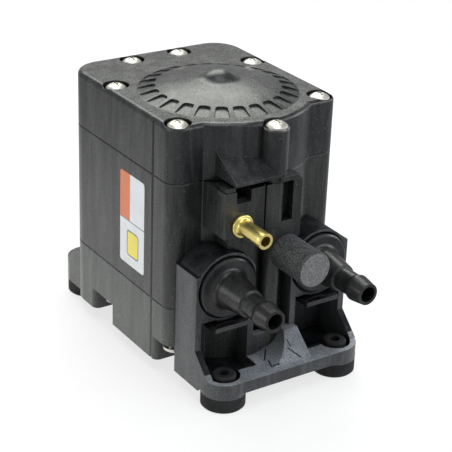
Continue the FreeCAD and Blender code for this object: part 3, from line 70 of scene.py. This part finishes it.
# Its fields: where the orange one starts, the grey line, and the yellow block with its dark rim
ORANGE_Y, ORANGE_Z = -2.4 * MM, 67.9 * MM
LINE_Z, LINE_HALF_WIDTH = 67.6 * MM, 0.28 * MM
BLOCK_Y, BLOCK_Z, BLOCK_HALF_WIDTH, BLOCK_HALF_HEIGHT = -5.0 * MM, 56.5 * MM, 3.4 * MM, 4.6 * MM
BLOCK_CORNER, BLOCK_RIM = 1.2 * MM, 0.7 * MM

# Noise scales, in waves per metre
GRAIN, MOTTLE, SPARKLE, PEBBLE = 2400, 1500, 1300, 900
FLOW, SINK, RUB, STREAK, RAGGED = 26, 38, 70, 170, 300
SPECKS = 520.0
BEADS = 2600.0
LATHE_RINGS = 14000
# Samples for the rounded edges, and for the ambient occlusion of the painted shade
BEVEL_SAMPLES, SHADE_SAMPLES = 6, 8

# The camera that took the photograph, worked out from the box's edges
CAMERA_PLACE = (-0.3365, -0.5122, 0.3415)
CAMERA_RIGHT = (0.8361, -0.5474, 0.0338)
CAMERA_BACK = (-0.508, -0.750, 0.424)
CAMERA_LENS, CAMERA_SENSOR = 113.2, 36.0

# Each lamp: name, place, what it faces, size, watts and colour
LAMPS = (
    ("Back_panel", (0.36, 0.92, 1.18), (0, 0, 0.12), (1.1, 0.9), 17, (0.97, 1.0, 0.93)),
    ("Right_window", (1.2, -0.35, 0.45), (0, 0, 0.07), (0.7, 0.5), 5, (0.95, 0.98, 1.0)),
    ("Left_window", (-1.3, 0.35, 0.35), (0, 0, 0.06), (0.9, 0.6), 5.5, (0.98, 1.0, 0.96)),
    ("Front_fill", (0.7, -1.1, 0.7), (0, 0, 0.04), (0.9, 0.5), 6, (0.9, 0.95, 1.0)),
    ("Overhead", (-0.1, -0.25, 1.4), (0, 0, 0.06), (0.9, 0.9), 7, (0.95, 0.98, 1.0)),
)
ROOM_LIGHT, ROOM_SEEN = 0.42, 1.0
# The floor: where its white starts to fade in mirrors, where its shadow starts to fade and over
# what lengths, in metres, and how much of the shadow is cut
SHEET_MIDDLE, SHEET_RADIUS, SHEET_FADE = (-0.075, 0.075, 0), 0.11, 0.2
SHADOW_RADIUS, SHADOW_FADE, SHADOW_CUT = 0.3, 0.3, 0.72


# Shader maths

class Wire:
    """A socket. Arithmetic on it adds Math nodes."""

    def __init__(self, paint, socket):
        self.paint = paint
        self.socket = socket

    def math(self, operation, *values):
        return self.paint.node("Math", {"operation": operation}, dict(enumerate(values)))

    def __add__(self, other):
        return self.math("ADD", self, other)

    def __radd__(self, other):
        return self.math("ADD", other, self)

    def __sub__(self, other):
        return self.math("SUBTRACT", self, other)

    def __rsub__(self, other):
        return self.math("SUBTRACT", other, self)

    def __mul__(self, other):
        return self.math("MULTIPLY", self, other)

    def __rmul__(self, other):
        return self.math("MULTIPLY", other, self)

    def __truediv__(self, other):
        return self.math("DIVIDE", self, other)

    def __lt__(self, other):
        return self.math("LESS_THAN", self, other)

    def __gt__(self, other):
        return self.math("GREATER_THAN", self, other)

    def absolute(self):
        return self.math("ABSOLUTE", self)

    def sine(self):
        return self.math("SINE", self)

    def root(self):
        return self.math("SQRT", self)

    def least(self, other):
        return self.math("MINIMUM", self, other)

    def most(self, other):
        return self.math("MAXIMUM", self, other)

    def held(self):
        """Held between 0 and 1."""
        return self.most(0.0).least(1.0)


class Paint:
    """One material: a Principled shader and what feeds it."""

    def __init__(self, name, **constants):
        self.material = bpy.data.materials.new(name)
        self.material.use_nodes = True
        self.tree = self.material.node_tree
        self.shader = self.tree.nodes["Principled BSDF"]
        for socket, value in constants.items():
            self.shader.inputs[socket.replace("_", " ")].default_value = value

    def node(self, kind, settings=None, inputs=None, output=0):
        """Adds a node: its settings first, then its sockets' values or links."""
        made = self.tree.nodes.new("ShaderNode" + kind)
        for setting, value in (settings or {}).items():
            if setting == "stops":
                self.set_stops(made.color_ramp, value)
            else:
                setattr(made, setting, value)
        for socket, value in (inputs or {}).items():
            if isinstance(value, Wire):
                self.tree.links.new(value.socket, made.inputs[socket])
            else:
                made.inputs[socket].default_value = value
        return Wire(self, made.outputs[output])

    @staticmethod
    def set_stops(ramp, stops):
        """Stops are (position, grey), in order. A new ramp has two."""
        for element, (place, grey) in zip(ramp.elements, stops):
            element.position = place
            element.color = (grey, grey, grey, 1)

    def feed(self, **links):
        for socket, wire in links.items():
            self.tree.links.new(wire.socket, self.shader.inputs[socket.replace("_", " ")])
        return self.material

    def show(self, mask, under, over):
        """What the material shows: two shaders mixed by a mask."""
        mixed = self.node("MixShader", {}, {0: mask, 1: under, 2: over})
        surface = self.tree.nodes["Material Output"].inputs["Surface"]
        self.tree.links.new(mixed.socket, surface)

    def place(self):
        return self.node("TexCoord", output="Object")

    def axes(self, vector, names="XYZ"):
        return [self.node("SeparateXYZ", {}, {0: vector}, name) for name in names]

    def facing(self, name):
        """The part of the face's own normal along an axis."""
        return self.axes(self.node("NewGeometry", output="Normal"), name)[0]

    def noise(self, scale, detail=2.0, roughness=0.5, vector=None, distortion=0.0):
        return self.node("TexNoise", {}, {
            "Vector": vector or self.place(), "Scale": scale, "Detail": detail,
            "Roughness": roughness, "Distortion": distortion})

    def cells(self, scale, output):
        return self.node("TexVoronoi", {}, {"Vector": self.place(), "Scale": scale}, output)

    def ramp(self, wire, *stops):
        return self.node("ValToRGB", {"stops": stops}, {0: wire})

    def mix(self, mask, low, high, way="MIX"):
        """A colour between two, by a mask."""
        low, high = [(*c, 1) if isinstance(c, tuple) else c for c in (low, high)]
        settings = {"data_type": "RGBA", "blend_type": way}
        return self.node("Mix", settings, {0: mask, 6: low, 7: high}, 2)

    def level(self, mask, low, high):
        """A number between two, by a mask."""
        return mask * (high - low) + low

    def edge(self, radius):
        """The normal rounded over by a radius, and a strong mask of where it leaves the face's own:
        the paler edges it marks are wear and painted highlight.
        """
        rounded = self.node("Bevel", {"samples": BEVEL_SAMPLES}, {"Radius": radius})
        own = self.node("NewGeometry", output="Normal")
        match = self.node("VectorMath", {"operation": "DOT_PRODUCT"}, {0: rounded, 1: own}, "Value")
        return rounded, (1 - match) * 6

    def painted_shade(self, reach, strength, colour, more):
        """Paints shade, as a matt near-black sheet, over what sits deep in corners and slots. reach
        is how far it looks for walls around a point, and more is a mask of where else the shade is
        painted."""
        air = self.node("AmbientOcclusion", {"samples": SHADE_SAMPLES}, {"Distance": reach}, "AO")
        shade_sheet = self.node("BsdfDiffuse", {}, {"Color": (*colour, 1)})
        mask = (self.ramp(air, (0.18, 1.0), (0.62, 0.0)) * strength).most(more)
        self.show(mask, Wire(self, self.shader.outputs[0]), shade_sheet)

    def bump(self, height, distance, normal=None):
        """A relief over a normal, or over the shape's own."""
        inputs = {"Height": height, "Distance": distance}
        if normal is not None:
            inputs["Normal"] = normal
        return self.node("Bump", {}, inputs)


def times(colour, share):
    return tuple(part * share for part in colour)


# Materials

def moulded(name, colour, edge_wear_and_light_colour, rough, grain, edge=0.35 * MM, strokes=(), dust=None,
            low=None, **constants):
    """Moulded plastic: a fine spark-eroded grain, faint flow marks, greasy streaks down the walls,
    slightly uneven walls, specks of dust, paler edges that are wear and painted highlight, and
    painted shade in corners and slots. grain is the grain's depth and edge the radius of its
    rounded edges.
    strokes are lines cut into it, darkened as painted shade. dust and low are colours: pale dust
    with painted top light, and painted light bounced from the floor."""
    paint = Paint(name, Coat_Roughness=0.3, **constants)
    rounded, wear_and_edge_light = paint.edge(edge)
    fine = paint.noise(GRAIN, 3)
    flow = paint.noise(FLOW, 4, 0.6, distortion=0.6)
    rub = paint.ramp(paint.noise(RUB, 5, 0.7), (0.42, 0.0), (0.72, 1.0))
    drawn = paint.node("Mapping", {}, {"Vector": paint.place(), "Scale": (1.0, 1.0, 0.15)})
    streak = paint.ramp(paint.noise(STREAK, 6, 0.7, drawn, 0.4), (0.42, 0.0), (0.8, 1.0))
    shade = paint.mix(flow, times(colour, 0.8), times(colour, 1.25))
    shade = paint.mix(streak * 0.9, shade, times(colour, 3.6))
    # Pale dust with painted top light, and a mask of painted shade for the pockets and boss tops
    pocket_and_boss_shade = 0.0
    if dust:
        shade, pocket_and_boss_shade = dust_light_and_shade(paint, shade, rub, dust)
    # Painted light bounced up from the floor, on the low side walls
    if low:
        shade = floor_bounce_light(paint, shade, streak, *low)
    blotch = paint.ramp(paint.noise(MOTTLE, 4, 0.75), (0.36, 0.0), (0.64, 1.0))
    blotch = paint.mix(blotch, (0.55, 0.55, 0.55), (1.6, 1.6, 1.6))
    shade = paint.mix(1.0, shade, blotch, "MULTIPLY")
    speck = (paint.cells(SPECKS, "Distance") < 0.1) * (rub > 0.45)
    shade = paint.mix(speck * 0.6, shade, (0.3, 0.3, 0.29))
    # Paler edges: wear and painted highlight
    shade = paint.mix((wear_and_edge_light * (0.35 + rub * 0.5)).least(1.0), shade, edge_wear_and_light_colour)
    roughness = paint.level(flow * 0.4 + streak * 0.3 + rub * 0.2 + fine * 0.1, *rough)
    normal = paint.bump(paint.noise(SINK, 2, vector=drawn), 0.5 * MM, rounded)
    normal = paint.bump(fine + paint.noise(PEBBLE, 2) * 0.6, grain, normal)
    if strokes:
        cut = engraved(paint, strokes)
        # Painted shade: the cut lines are darkened
        shade = paint.mix(cut, shade, times(colour, 0.3))
        normal = paint.bump(1 - cut, STROKE_DEPTH, normal)
    # Painted shade: a near-black matt sheet in corners and slots, and on the faces the pocket mask
    # marks
    paint.painted_shade(9 * MM, 0.74, (0.004, 0.004, 0.0042), pocket_and_boss_shade * (1 - speck) if dust else pocket_and_boss_shade)
    sparkle = (paint.noise(SPARKLE, 3, 0.7) - 0.5).most(0.0)
    gloss = (streak * 0.28 + sparkle * 1.6).least(0.6)
    return paint.feed(Base_Color=shade, Roughness=roughness, Normal=normal, Coat_Weight=gloss)


def dust_light_and_shade(paint, shade, rub, dust):
    """The colour with pale dust and painted light from above on the low upward faces that a cloth
    reaches, and a mask of painted shade on the upward faces in the finger pockets and on top of the
    bosses. The pockets end in a ragged line."""
    across, along, rise = paint.axes(paint.place())
    up = paint.facing("Z")
    ragged = (paint.noise(RAGGED, 3) - 0.5) * (1.6 * MM)
    pocket = (across.absolute() > POCKET_SIDE) * (along + ragged > POCKET_EDGE)
    # Dust and painted top light: the low upward faces made paler
    dust_and_top_light = paint.ramp(up, (0.35, 0.0), (0.9, 1.0)) * (0.55 + rub * 0.45) * (rise < DUST_AND_LIGHT_TOP)
    # Painted shade on upward faces, in the pockets and above the shade's foot
    upward_shade = paint.ramp(up, (0.2, 0.0), (0.6, 1.0)) * (0.65 + rub * 0.3)
    return paint.mix(dust_and_top_light * (1 - pocket), shade, dust), upward_shade * pocket.most(rise > SHADE_FOOT)


def floor_bounce_light(paint, shade, streak, tint, bottom, top):
    """The colour with painted light on the walls that face sideways, a paler tint as if bounced up
    from the floor, full at a bottom height and gone at a top one, both in millimetres."""
    rise, = paint.axes(paint.place(), "Z")
    near = ((top * MM - rise) / ((top - bottom) * MM)).held()
    side = paint.facing("X").absolute()
    return paint.mix(near * side * (0.7 + streak * 0.3), shade, tint)


def engraved(paint, strokes):
    """A mask of the lines: two less the distance to the nearest over half the line's width, held
    between 0 and 1."""
    x, y = paint.axes(paint.place(), "XY")
    nearest = None
    for x1, y1, x2, y2 in (np.array(strokes) * MM).tolist():
        run_x, run_y = x2 - x1, y2 - y1
        share = ((x - x1) * run_x + (y - y1) * run_y) / (run_x ** 2 + run_y ** 2)
        share = share.held()
        off_x, off_y = x - x1 - share * run_x, y - y1 - share * run_y
        away = off_x * off_x + off_y * off_y
        nearest = away if nearest is None else nearest.least(away)
    return (2 - nearest.root() / STROKE_HALF_WIDTH).held()


def nickel():
    """Bright nickel plate with fine pitting and dulled patches."""
    paint = Paint("Screw_nickel", Metallic=1.0)
    rounded, wear_and_edge_light = paint.edge(0.25 * MM)
    cloud = paint.noise(260, 4, 0.6)
    colour = paint.mix(cloud, (0.56, 0.54, 0.48), (0.8, 0.78, 0.72))
    # Paler edges: wear and painted highlight
    return paint.feed(Base_Color=paint.mix(wear_and_edge_light.least(1.0), colour, (0.86, 0.85, 0.82)),
                      Roughness=paint.level(cloud, 0.28, 0.46),
                      Normal=paint.bump(paint.noise(1500, 2), 0.012 * MM, rounded))


def turned_brass():
    """Yellow brass turned on a lathe: faint rings across its axis and slight tarnish."""
    paint = Paint("Turned_brass", Metallic=1.0)
    rounded, wear_and_edge_light = paint.edge(0.12 * MM)
    along, = paint.axes(paint.place(), "Y")
    rings = (along * LATHE_RINGS).sine() * 0.5 + 0.5
    cloud = paint.noise(420, 4, 0.6)
    colour = paint.mix(cloud, (0.92, 0.73, 0.22), (1.0, 0.88, 0.36))
    # Paler edges: wear and painted highlight
    return paint.feed(Base_Color=paint.mix(wear_and_edge_light.least(1.0), colour, (1.0, 0.92, 0.52)),
                      Roughness=paint.level(cloud * 0.8 + rings * 0.2, 0.24, 0.42),
                      Normal=paint.bump(rings, 0.004 * MM, rounded))


def porous():
    """Sintered beads, some paler than others, with dark pores between them. The front end face is
    painted paler and more even: painted light falling on it from the front."""
    paint = Paint("Sintered_plastic", Roughness=0.75, Specular_IOR_Level=0.3)
    beads = paint.cells(BEADS, "Distance")
    tint = paint.node("SeparateColor", {}, {0: paint.cells(BEADS, "Color")}, "Red")
    pick = paint.ramp(tint, (0.2, 0.0), (0.95, 1.0))
    pores = paint.ramp(beads, (0.4, 0.0), (0.8, 1.0))
    body = paint.mix(pick, (0.02, 0.021, 0.022), (0.13, 0.133, 0.138))
    side = paint.mix(paint.noise(90, 3), paint.mix(pores, body, (0.012, 0.012, 0.013)), body)
    # The end face: a paler copy of the beads, painted light from the front
    end = paint.mix(pick, (0.11, 0.111, 0.113), (0.23, 0.232, 0.236))
    end = paint.mix(pores * 0.6, end, (0.05, 0.05, 0.051))
    return paint.feed(Base_Color=paint.mix(paint.facing("Y") < -0.9, side, end),
                      Normal=paint.bump(1 - beads, 0.12 * MM))


def rubber(name, dark, pale, rough=(0.62, 0.85), gloss=0.5):
    """Matt rubber with bloom and a little dust."""
    paint = Paint(name, Specular_IOR_Level=gloss)
    rounded, wear_and_edge_light = paint.edge(0.4 * MM)
    dust = paint.noise(140, 5, 0.7)
    colour = paint.mix(paint.ramp(dust, (0.4, 0.0), (0.75, 1.0)), dark, pale)
    # Paler edges: wear and painted highlight
    return paint.feed(Base_Color=paint.mix((wear_and_edge_light * 0.4).least(1.0), colour, pale),
                      Roughness=paint.level(dust, *rough),
                      Normal=paint.bump(paint.noise(3000, 2), 0.02 * MM, rounded))


def brushed_steel():
    """Ground steel with fine scratches along Z."""
    paint = Paint("Ground_steel", Metallic=1.0)
    rounded, wear_and_edge_light = paint.edge(0.2 * MM)
    drawn = paint.node("Mapping", {}, {"Vector": paint.place(), "Scale": (6.0, 6.0, 0.4)})
    scratch = paint.noise(900, 3, vector=drawn)
    colour = paint.mix(scratch, (0.45, 0.45, 0.46), (0.68, 0.68, 0.69))
    # Paler edges: wear and painted highlight
    return paint.feed(Base_Color=paint.mix(wear_and_edge_light.least(1.0), colour, (0.8, 0.8, 0.8)),
                      Roughness=paint.level(scratch, 0.22, 0.42),
                      Normal=paint.bump(scratch, 0.006 * MM, rounded))


def mouldings():
    """The moulded plastics: colour, edge colour (wear and painted highlight), roughness and grain,
    then what else each has: low is painted light bounced from the floor, and the bracket's dust is
    pale dust with painted top light.
    """
    return {
        "black_moulding": moulded(
            "Black_moulding", (0.011, 0.0115, 0.012), (0.06, 0.061, 0.06), (0.2, 0.38), 0.08 * MM,
            low=((0.085, 0.092, 0.085), 20, 75), Specular_IOR_Level=0.36),
        "centre_moulding": moulded(
            "Centre_moulding", (0.012, 0.0126, 0.0124), (0.05, 0.051, 0.05), (0.2, 0.4), 0.05 * MM,
            low=((0.03, 0.033, 0.031), 35, 90), Specular_IOR_Level=0.38),
        "bracket_moulding": moulded(
            "Bracket_moulding", (0.022, 0.0234, 0.0265), (0.13, 0.136, 0.146), (0.34, 0.5),
            # its dust colour is also painted light from above on the deck's upward faces
            0.05 * MM, edge=0.5 * MM, strokes=FLOW_MARKS, dust=(0.28, 0.298, 0.335),
            low=((0.06, 0.064, 0.066), 10, 70), Specular_IOR_Level=0.42),
        "fitting_moulding": moulded(
            "Fitting_moulding", (0.008, 0.0082, 0.0086), (0.05, 0.051, 0.053), (0.28, 0.44),
            0.02 * MM, Specular_IOR_Level=0.34),
        "clip_moulding": moulded(
            "Clip_moulding", (0.007, 0.007, 0.0076), (0.04, 0.04, 0.042), (0.14, 0.26),
            0.006 * MM),
        "piston_plastic": moulded(
            "Piston_plastic", (0.62, 0.62, 0.58), (0.75, 0.75, 0.72), (0.35, 0.5), 0.012 * MM),
    }


def rubbers():
    """The soft plastics: their darker and paler colours, then roughness and gloss."""
    return {
        "foot_rubber": rubber("Foot_rubber", (0.01, 0.01, 0.011), (0.03, 0.03, 0.032), gloss=0.25),
        "diaphragm_rubber": rubber("Diaphragm_rubber", (0.02, 0.02, 0.02), (0.06, 0.06, 0.058)),
        "seal_rubber": rubber("Seal_rubber", (0.012, 0.012, 0.012), (0.03, 0.03, 0.03),
                              (0.35, 0.55)),
        "valve_silicone": rubber("Valve_silicone", (0.42, 0.37, 0.3), (0.55, 0.5, 0.42),
                                 (0.4, 0.6)),
    }


def dress_nodes():
    """Gives every CAD node the finish of its slot."""
    finishes = {**mouldings(), **rubbers(), "nickel": nickel(), "brass": turned_brass(),
                "porous_plastic": porous(), "steel": brushed_steel()}
    for part in frame["record"]["subparts"]:
        piece = NODES[part["node"]]
        piece.data.materials.clear()
        piece.data.materials.append(finishes[part["material_slot"]])


# Pieces that the frame doesn't have

def add_piece(name, points, faces, material):
    """A mesh object at the origin, with its place in its mesh."""
    mesh = bpy.data.meshes.new(name)
    mesh.from_pydata(points, [], faces)
    mesh.update()
    mesh.materials.append(material)
    made = bpy.data.objects.new(name, mesh)
    bpy.context.scene.collection.objects.link(made)
    return made


def rounded_outline(half_width, half_height, radius, per_corner=8):
    """A rectangle with round corners: each point is a corner's centre, chosen by the signs of the
    cosine and sine of its angle, plus the radius along that angle."""
    step = np.linspace(0.001, math.pi / 2 - 0.001, per_corner)
    angle = np.concatenate([step + quarter * math.pi / 2 for quarter in range(4)])
    across = np.sign(np.cos(angle)) * (half_width - radius) + radius * np.cos(angle)
    along = np.sign(np.sin(angle)) * (half_height - radius) + radius * np.sin(angle)
    return across, along


def label_print():
    """Coated paper with plain colour fields: orange, white and yellow, with a grey line between
    and slight dirt."""
    paint = Paint("Label_print", Coat_Weight=0.25, Coat_Roughness=0.3)
    along, rise = paint.axes(paint.place(), "YZ")
    ragged = paint.noise(900, 2) * (0.1 * MM) - 0.05 * MM
    white = paint.mix(paint.noise(55, 4), (0.6, 0.62, 0.66), (0.74, 0.75, 0.78))
    orange = (along + ragged > ORANGE_Y) * (rise + ragged > ORANGE_Z)
    line = (rise - LINE_Z).absolute() < LINE_HALF_WIDTH
    off_y = ((along - BLOCK_Y).absolute() - BLOCK_HALF_WIDTH).most(0.0)
    off_z = ((rise - BLOCK_Z).absolute() - BLOCK_HALF_HEIGHT).most(0.0)
    reach = (off_y * off_y + off_z * off_z).root()
    colour = paint.mix(orange, white, (0.62, 0.16, 0.055))
    colour = paint.mix(reach < BLOCK_CORNER + BLOCK_RIM, colour, (0.16, 0.155, 0.13))
    colour = paint.mix(reach < BLOCK_CORNER, colour, (0.78, 0.66, 0.09))
    colour = paint.mix(line, colour, (0.2, 0.2, 0.2))
    dirt = paint.ramp(paint.noise(200, 5, 0.7), (0.5, 0.0), (0.9, 0.35))
    colour = paint.mix(dirt, colour, (0.32, 0.31, 0.28))
    return paint.feed(Base_Color=colour, Roughness=paint.level(paint.noise(120, 3), 0.35, 0.55),
                      Normal=paint.bump(paint.noise(260, 3), 0.03 * MM))


def label():
    """The sticker on the left wall: four rings that follow the rounded outline, each at its own
    height off the wall and its own share of the outline, joined by quads, and a fan that closes
    the last ring to its mean."""
    across, along = rounded_outline(LABEL_HALF_WIDTH, LABEL_HALF_HEIGHT, LABEL_CORNER)
    width = len(across)
    rings = []
    for share, height in ((1.0, -0.01), (1.0, 0.07), (0.99, 0.1), (0.5, 0.1)):
        rings.append(np.stack([np.full_like(across, WALL_X - height * MM),
                               LABEL_Y - across * share, LABEL_Z + along * share], 1))
    points = np.vstack(rings + [rings[-1].mean(0)[None]])
    ring = np.arange(width)
    after = (ring + 1) % width
    faces = []
    for start in range(0, (len(rings) - 1) * width, width):
        quads = [ring, after, after + width, ring + width]
        faces += (np.stack(quads, 1) + start).tolist()
    last, middle = (len(rings) - 1) * width, len(points) - 1
    faces += [[int(a), int(b), middle] for a, b in zip(ring + last, after + last)]
    made = add_piece("side_label", points.tolist(), faces, label_print())
    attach(made, "pump")


def flexing_diaphragm(node):
    """The diaphragm as the CAD node's own surface cut into twelve sectors round its axis, each a
    mesh piece of its own with its place in its mesh. The CAD node itself is hidden."""
    mesh = NODES[node].data
    points = np.array([vertex.co for vertex in mesh.vertices])
    corners = points[np.array([face.vertices[:] for face in mesh.polygons])]
    axis = np.array((0.0, AXIS_Y, 0.0))
    middles = corners.mean(1) - axis
    turn = np.arctan2(middles[:, 1], middles[:, 0]) / (2 * math.pi) % 1
    for number in range(SECTORS):
        mine = corners[(turn * SECTORS).astype(int) == number].reshape(-1, 3)
        merged, faces = np.unique(np.round(mine, 7), axis=0, return_inverse=True)
        made = add_piece("%s_sector_%d" % (node, number), merged.tolist(),
                         faces.reshape(-1, 3).tolist(), mesh.materials[0])
        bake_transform(made)
        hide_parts(node)


# Stage, light and camera

def camera():
    """Stands where the photograph was taken from."""
    back = Vector(CAMERA_BACK).normalized()
    right = Vector(CAMERA_RIGHT)
    right = (right - back * right.dot(back)).normalized()
    lens = bpy.data.cameras.new("Camera")
    lens.sensor_width = CAMERA_SENSOR
    lens.lens = CAMERA_LENS
    lens.clip_start = 0.01
    lens.clip_end = 50.0
    made = bpy.data.objects.new("Camera", lens)
    turn = Matrix((right, back.cross(right), back)).transposed().to_4x4()
    made.matrix_world = Matrix.Translation(CAMERA_PLACE) @ turn
    bpy.context.scene.collection.objects.link(made)
    bpy.context.scene.camera = made


def soft_light(name, place, target, size, power, colour):
    lamp = bpy.data.lights.new(name, "AREA")
    lamp.shape = "RECTANGLE"
    lamp.size, lamp.size_y = size
    lamp.energy = power
    lamp.color = colour
    made = bpy.data.objects.new(name, lamp)
    made.visible_camera = False
    made.location = place
    facing = Vector(target) - Vector(place)
    made.rotation_euler = facing.to_track_quat("-Z", "Y").to_euler()
    bpy.context.scene.collection.objects.link(made)


def floor():
    """A white floor that keeps a faint shadow near the part. What mirrors it sees its white fade
    away from the part, as a sheet of paper on a darker table."""
    bpy.ops.mesh.primitive_plane_add(size=30)
    made = bpy.context.active_object
    made.name = "Floor"
    paint = Paint("Floor_paper", Roughness=0.9, Specular_IOR_Level=0.0)
    paint.feed(Base_Color=paint.mix(paint.noise(3, 2), (0.9, 0.9, 0.9), (0.93, 0.93, 0.93)))
    seen, mirrored = [paint.node("LightPath", output=ray)
                      for ray in ("Is Camera Ray", "Is Glossy Ray")]
    away = paint.node("VectorMath", {"operation": "DISTANCE"},
                      {0: paint.place(), 1: SHEET_MIDDLE}, "Value")
    fade = ((away - SHEET_RADIUS) / SHEET_FADE).held()
    far = ((away - SHADOW_RADIUS) / SHADOW_FADE).held()
    glow = paint.mix(mirrored * fade, (1.0, 1.0, 1.0), (0.46, 0.46, 0.475))
    mask = (seen * (SHADOW_CUT + far * (1 - SHADOW_CUT)) + mirrored).least(1.0)
    paint.show(mask, Wire(paint, paint.shader.outputs[0]), paint.node("Emission", {}, {0: glow}))
    made.data.materials.append(paint.material)


def room():
    """A plain white room that looks brighter than it lights."""
    world = bpy.data.worlds.new("Room")
    bpy.context.scene.world = world
    world.use_nodes = True
    nodes, links = world.node_tree.nodes, world.node_tree.links
    path = nodes.new("ShaderNodeLightPath")
    walls = nodes["Background"]
    walls.inputs["Color"].default_value = (1, 1, 1, 1)
    strength = nodes.new("ShaderNodeMapRange")
    strength.inputs["To Min"].default_value = ROOM_LIGHT
    strength.inputs["To Max"].default_value = ROOM_SEEN
    links.new(path.outputs["Is Camera Ray"], strength.inputs["Value"])
    links.new(strength.outputs["Result"], walls.inputs["Strength"])


dress_nodes()
label()
flexing_diaphragm("upper_diaphragm")
flexing_diaphragm("lower_diaphragm")
floor()
room()
for lamp in LAMPS:
    soft_light(*lamp)
camera()
bpy.context.scene.view_settings.view_transform = "Standard"
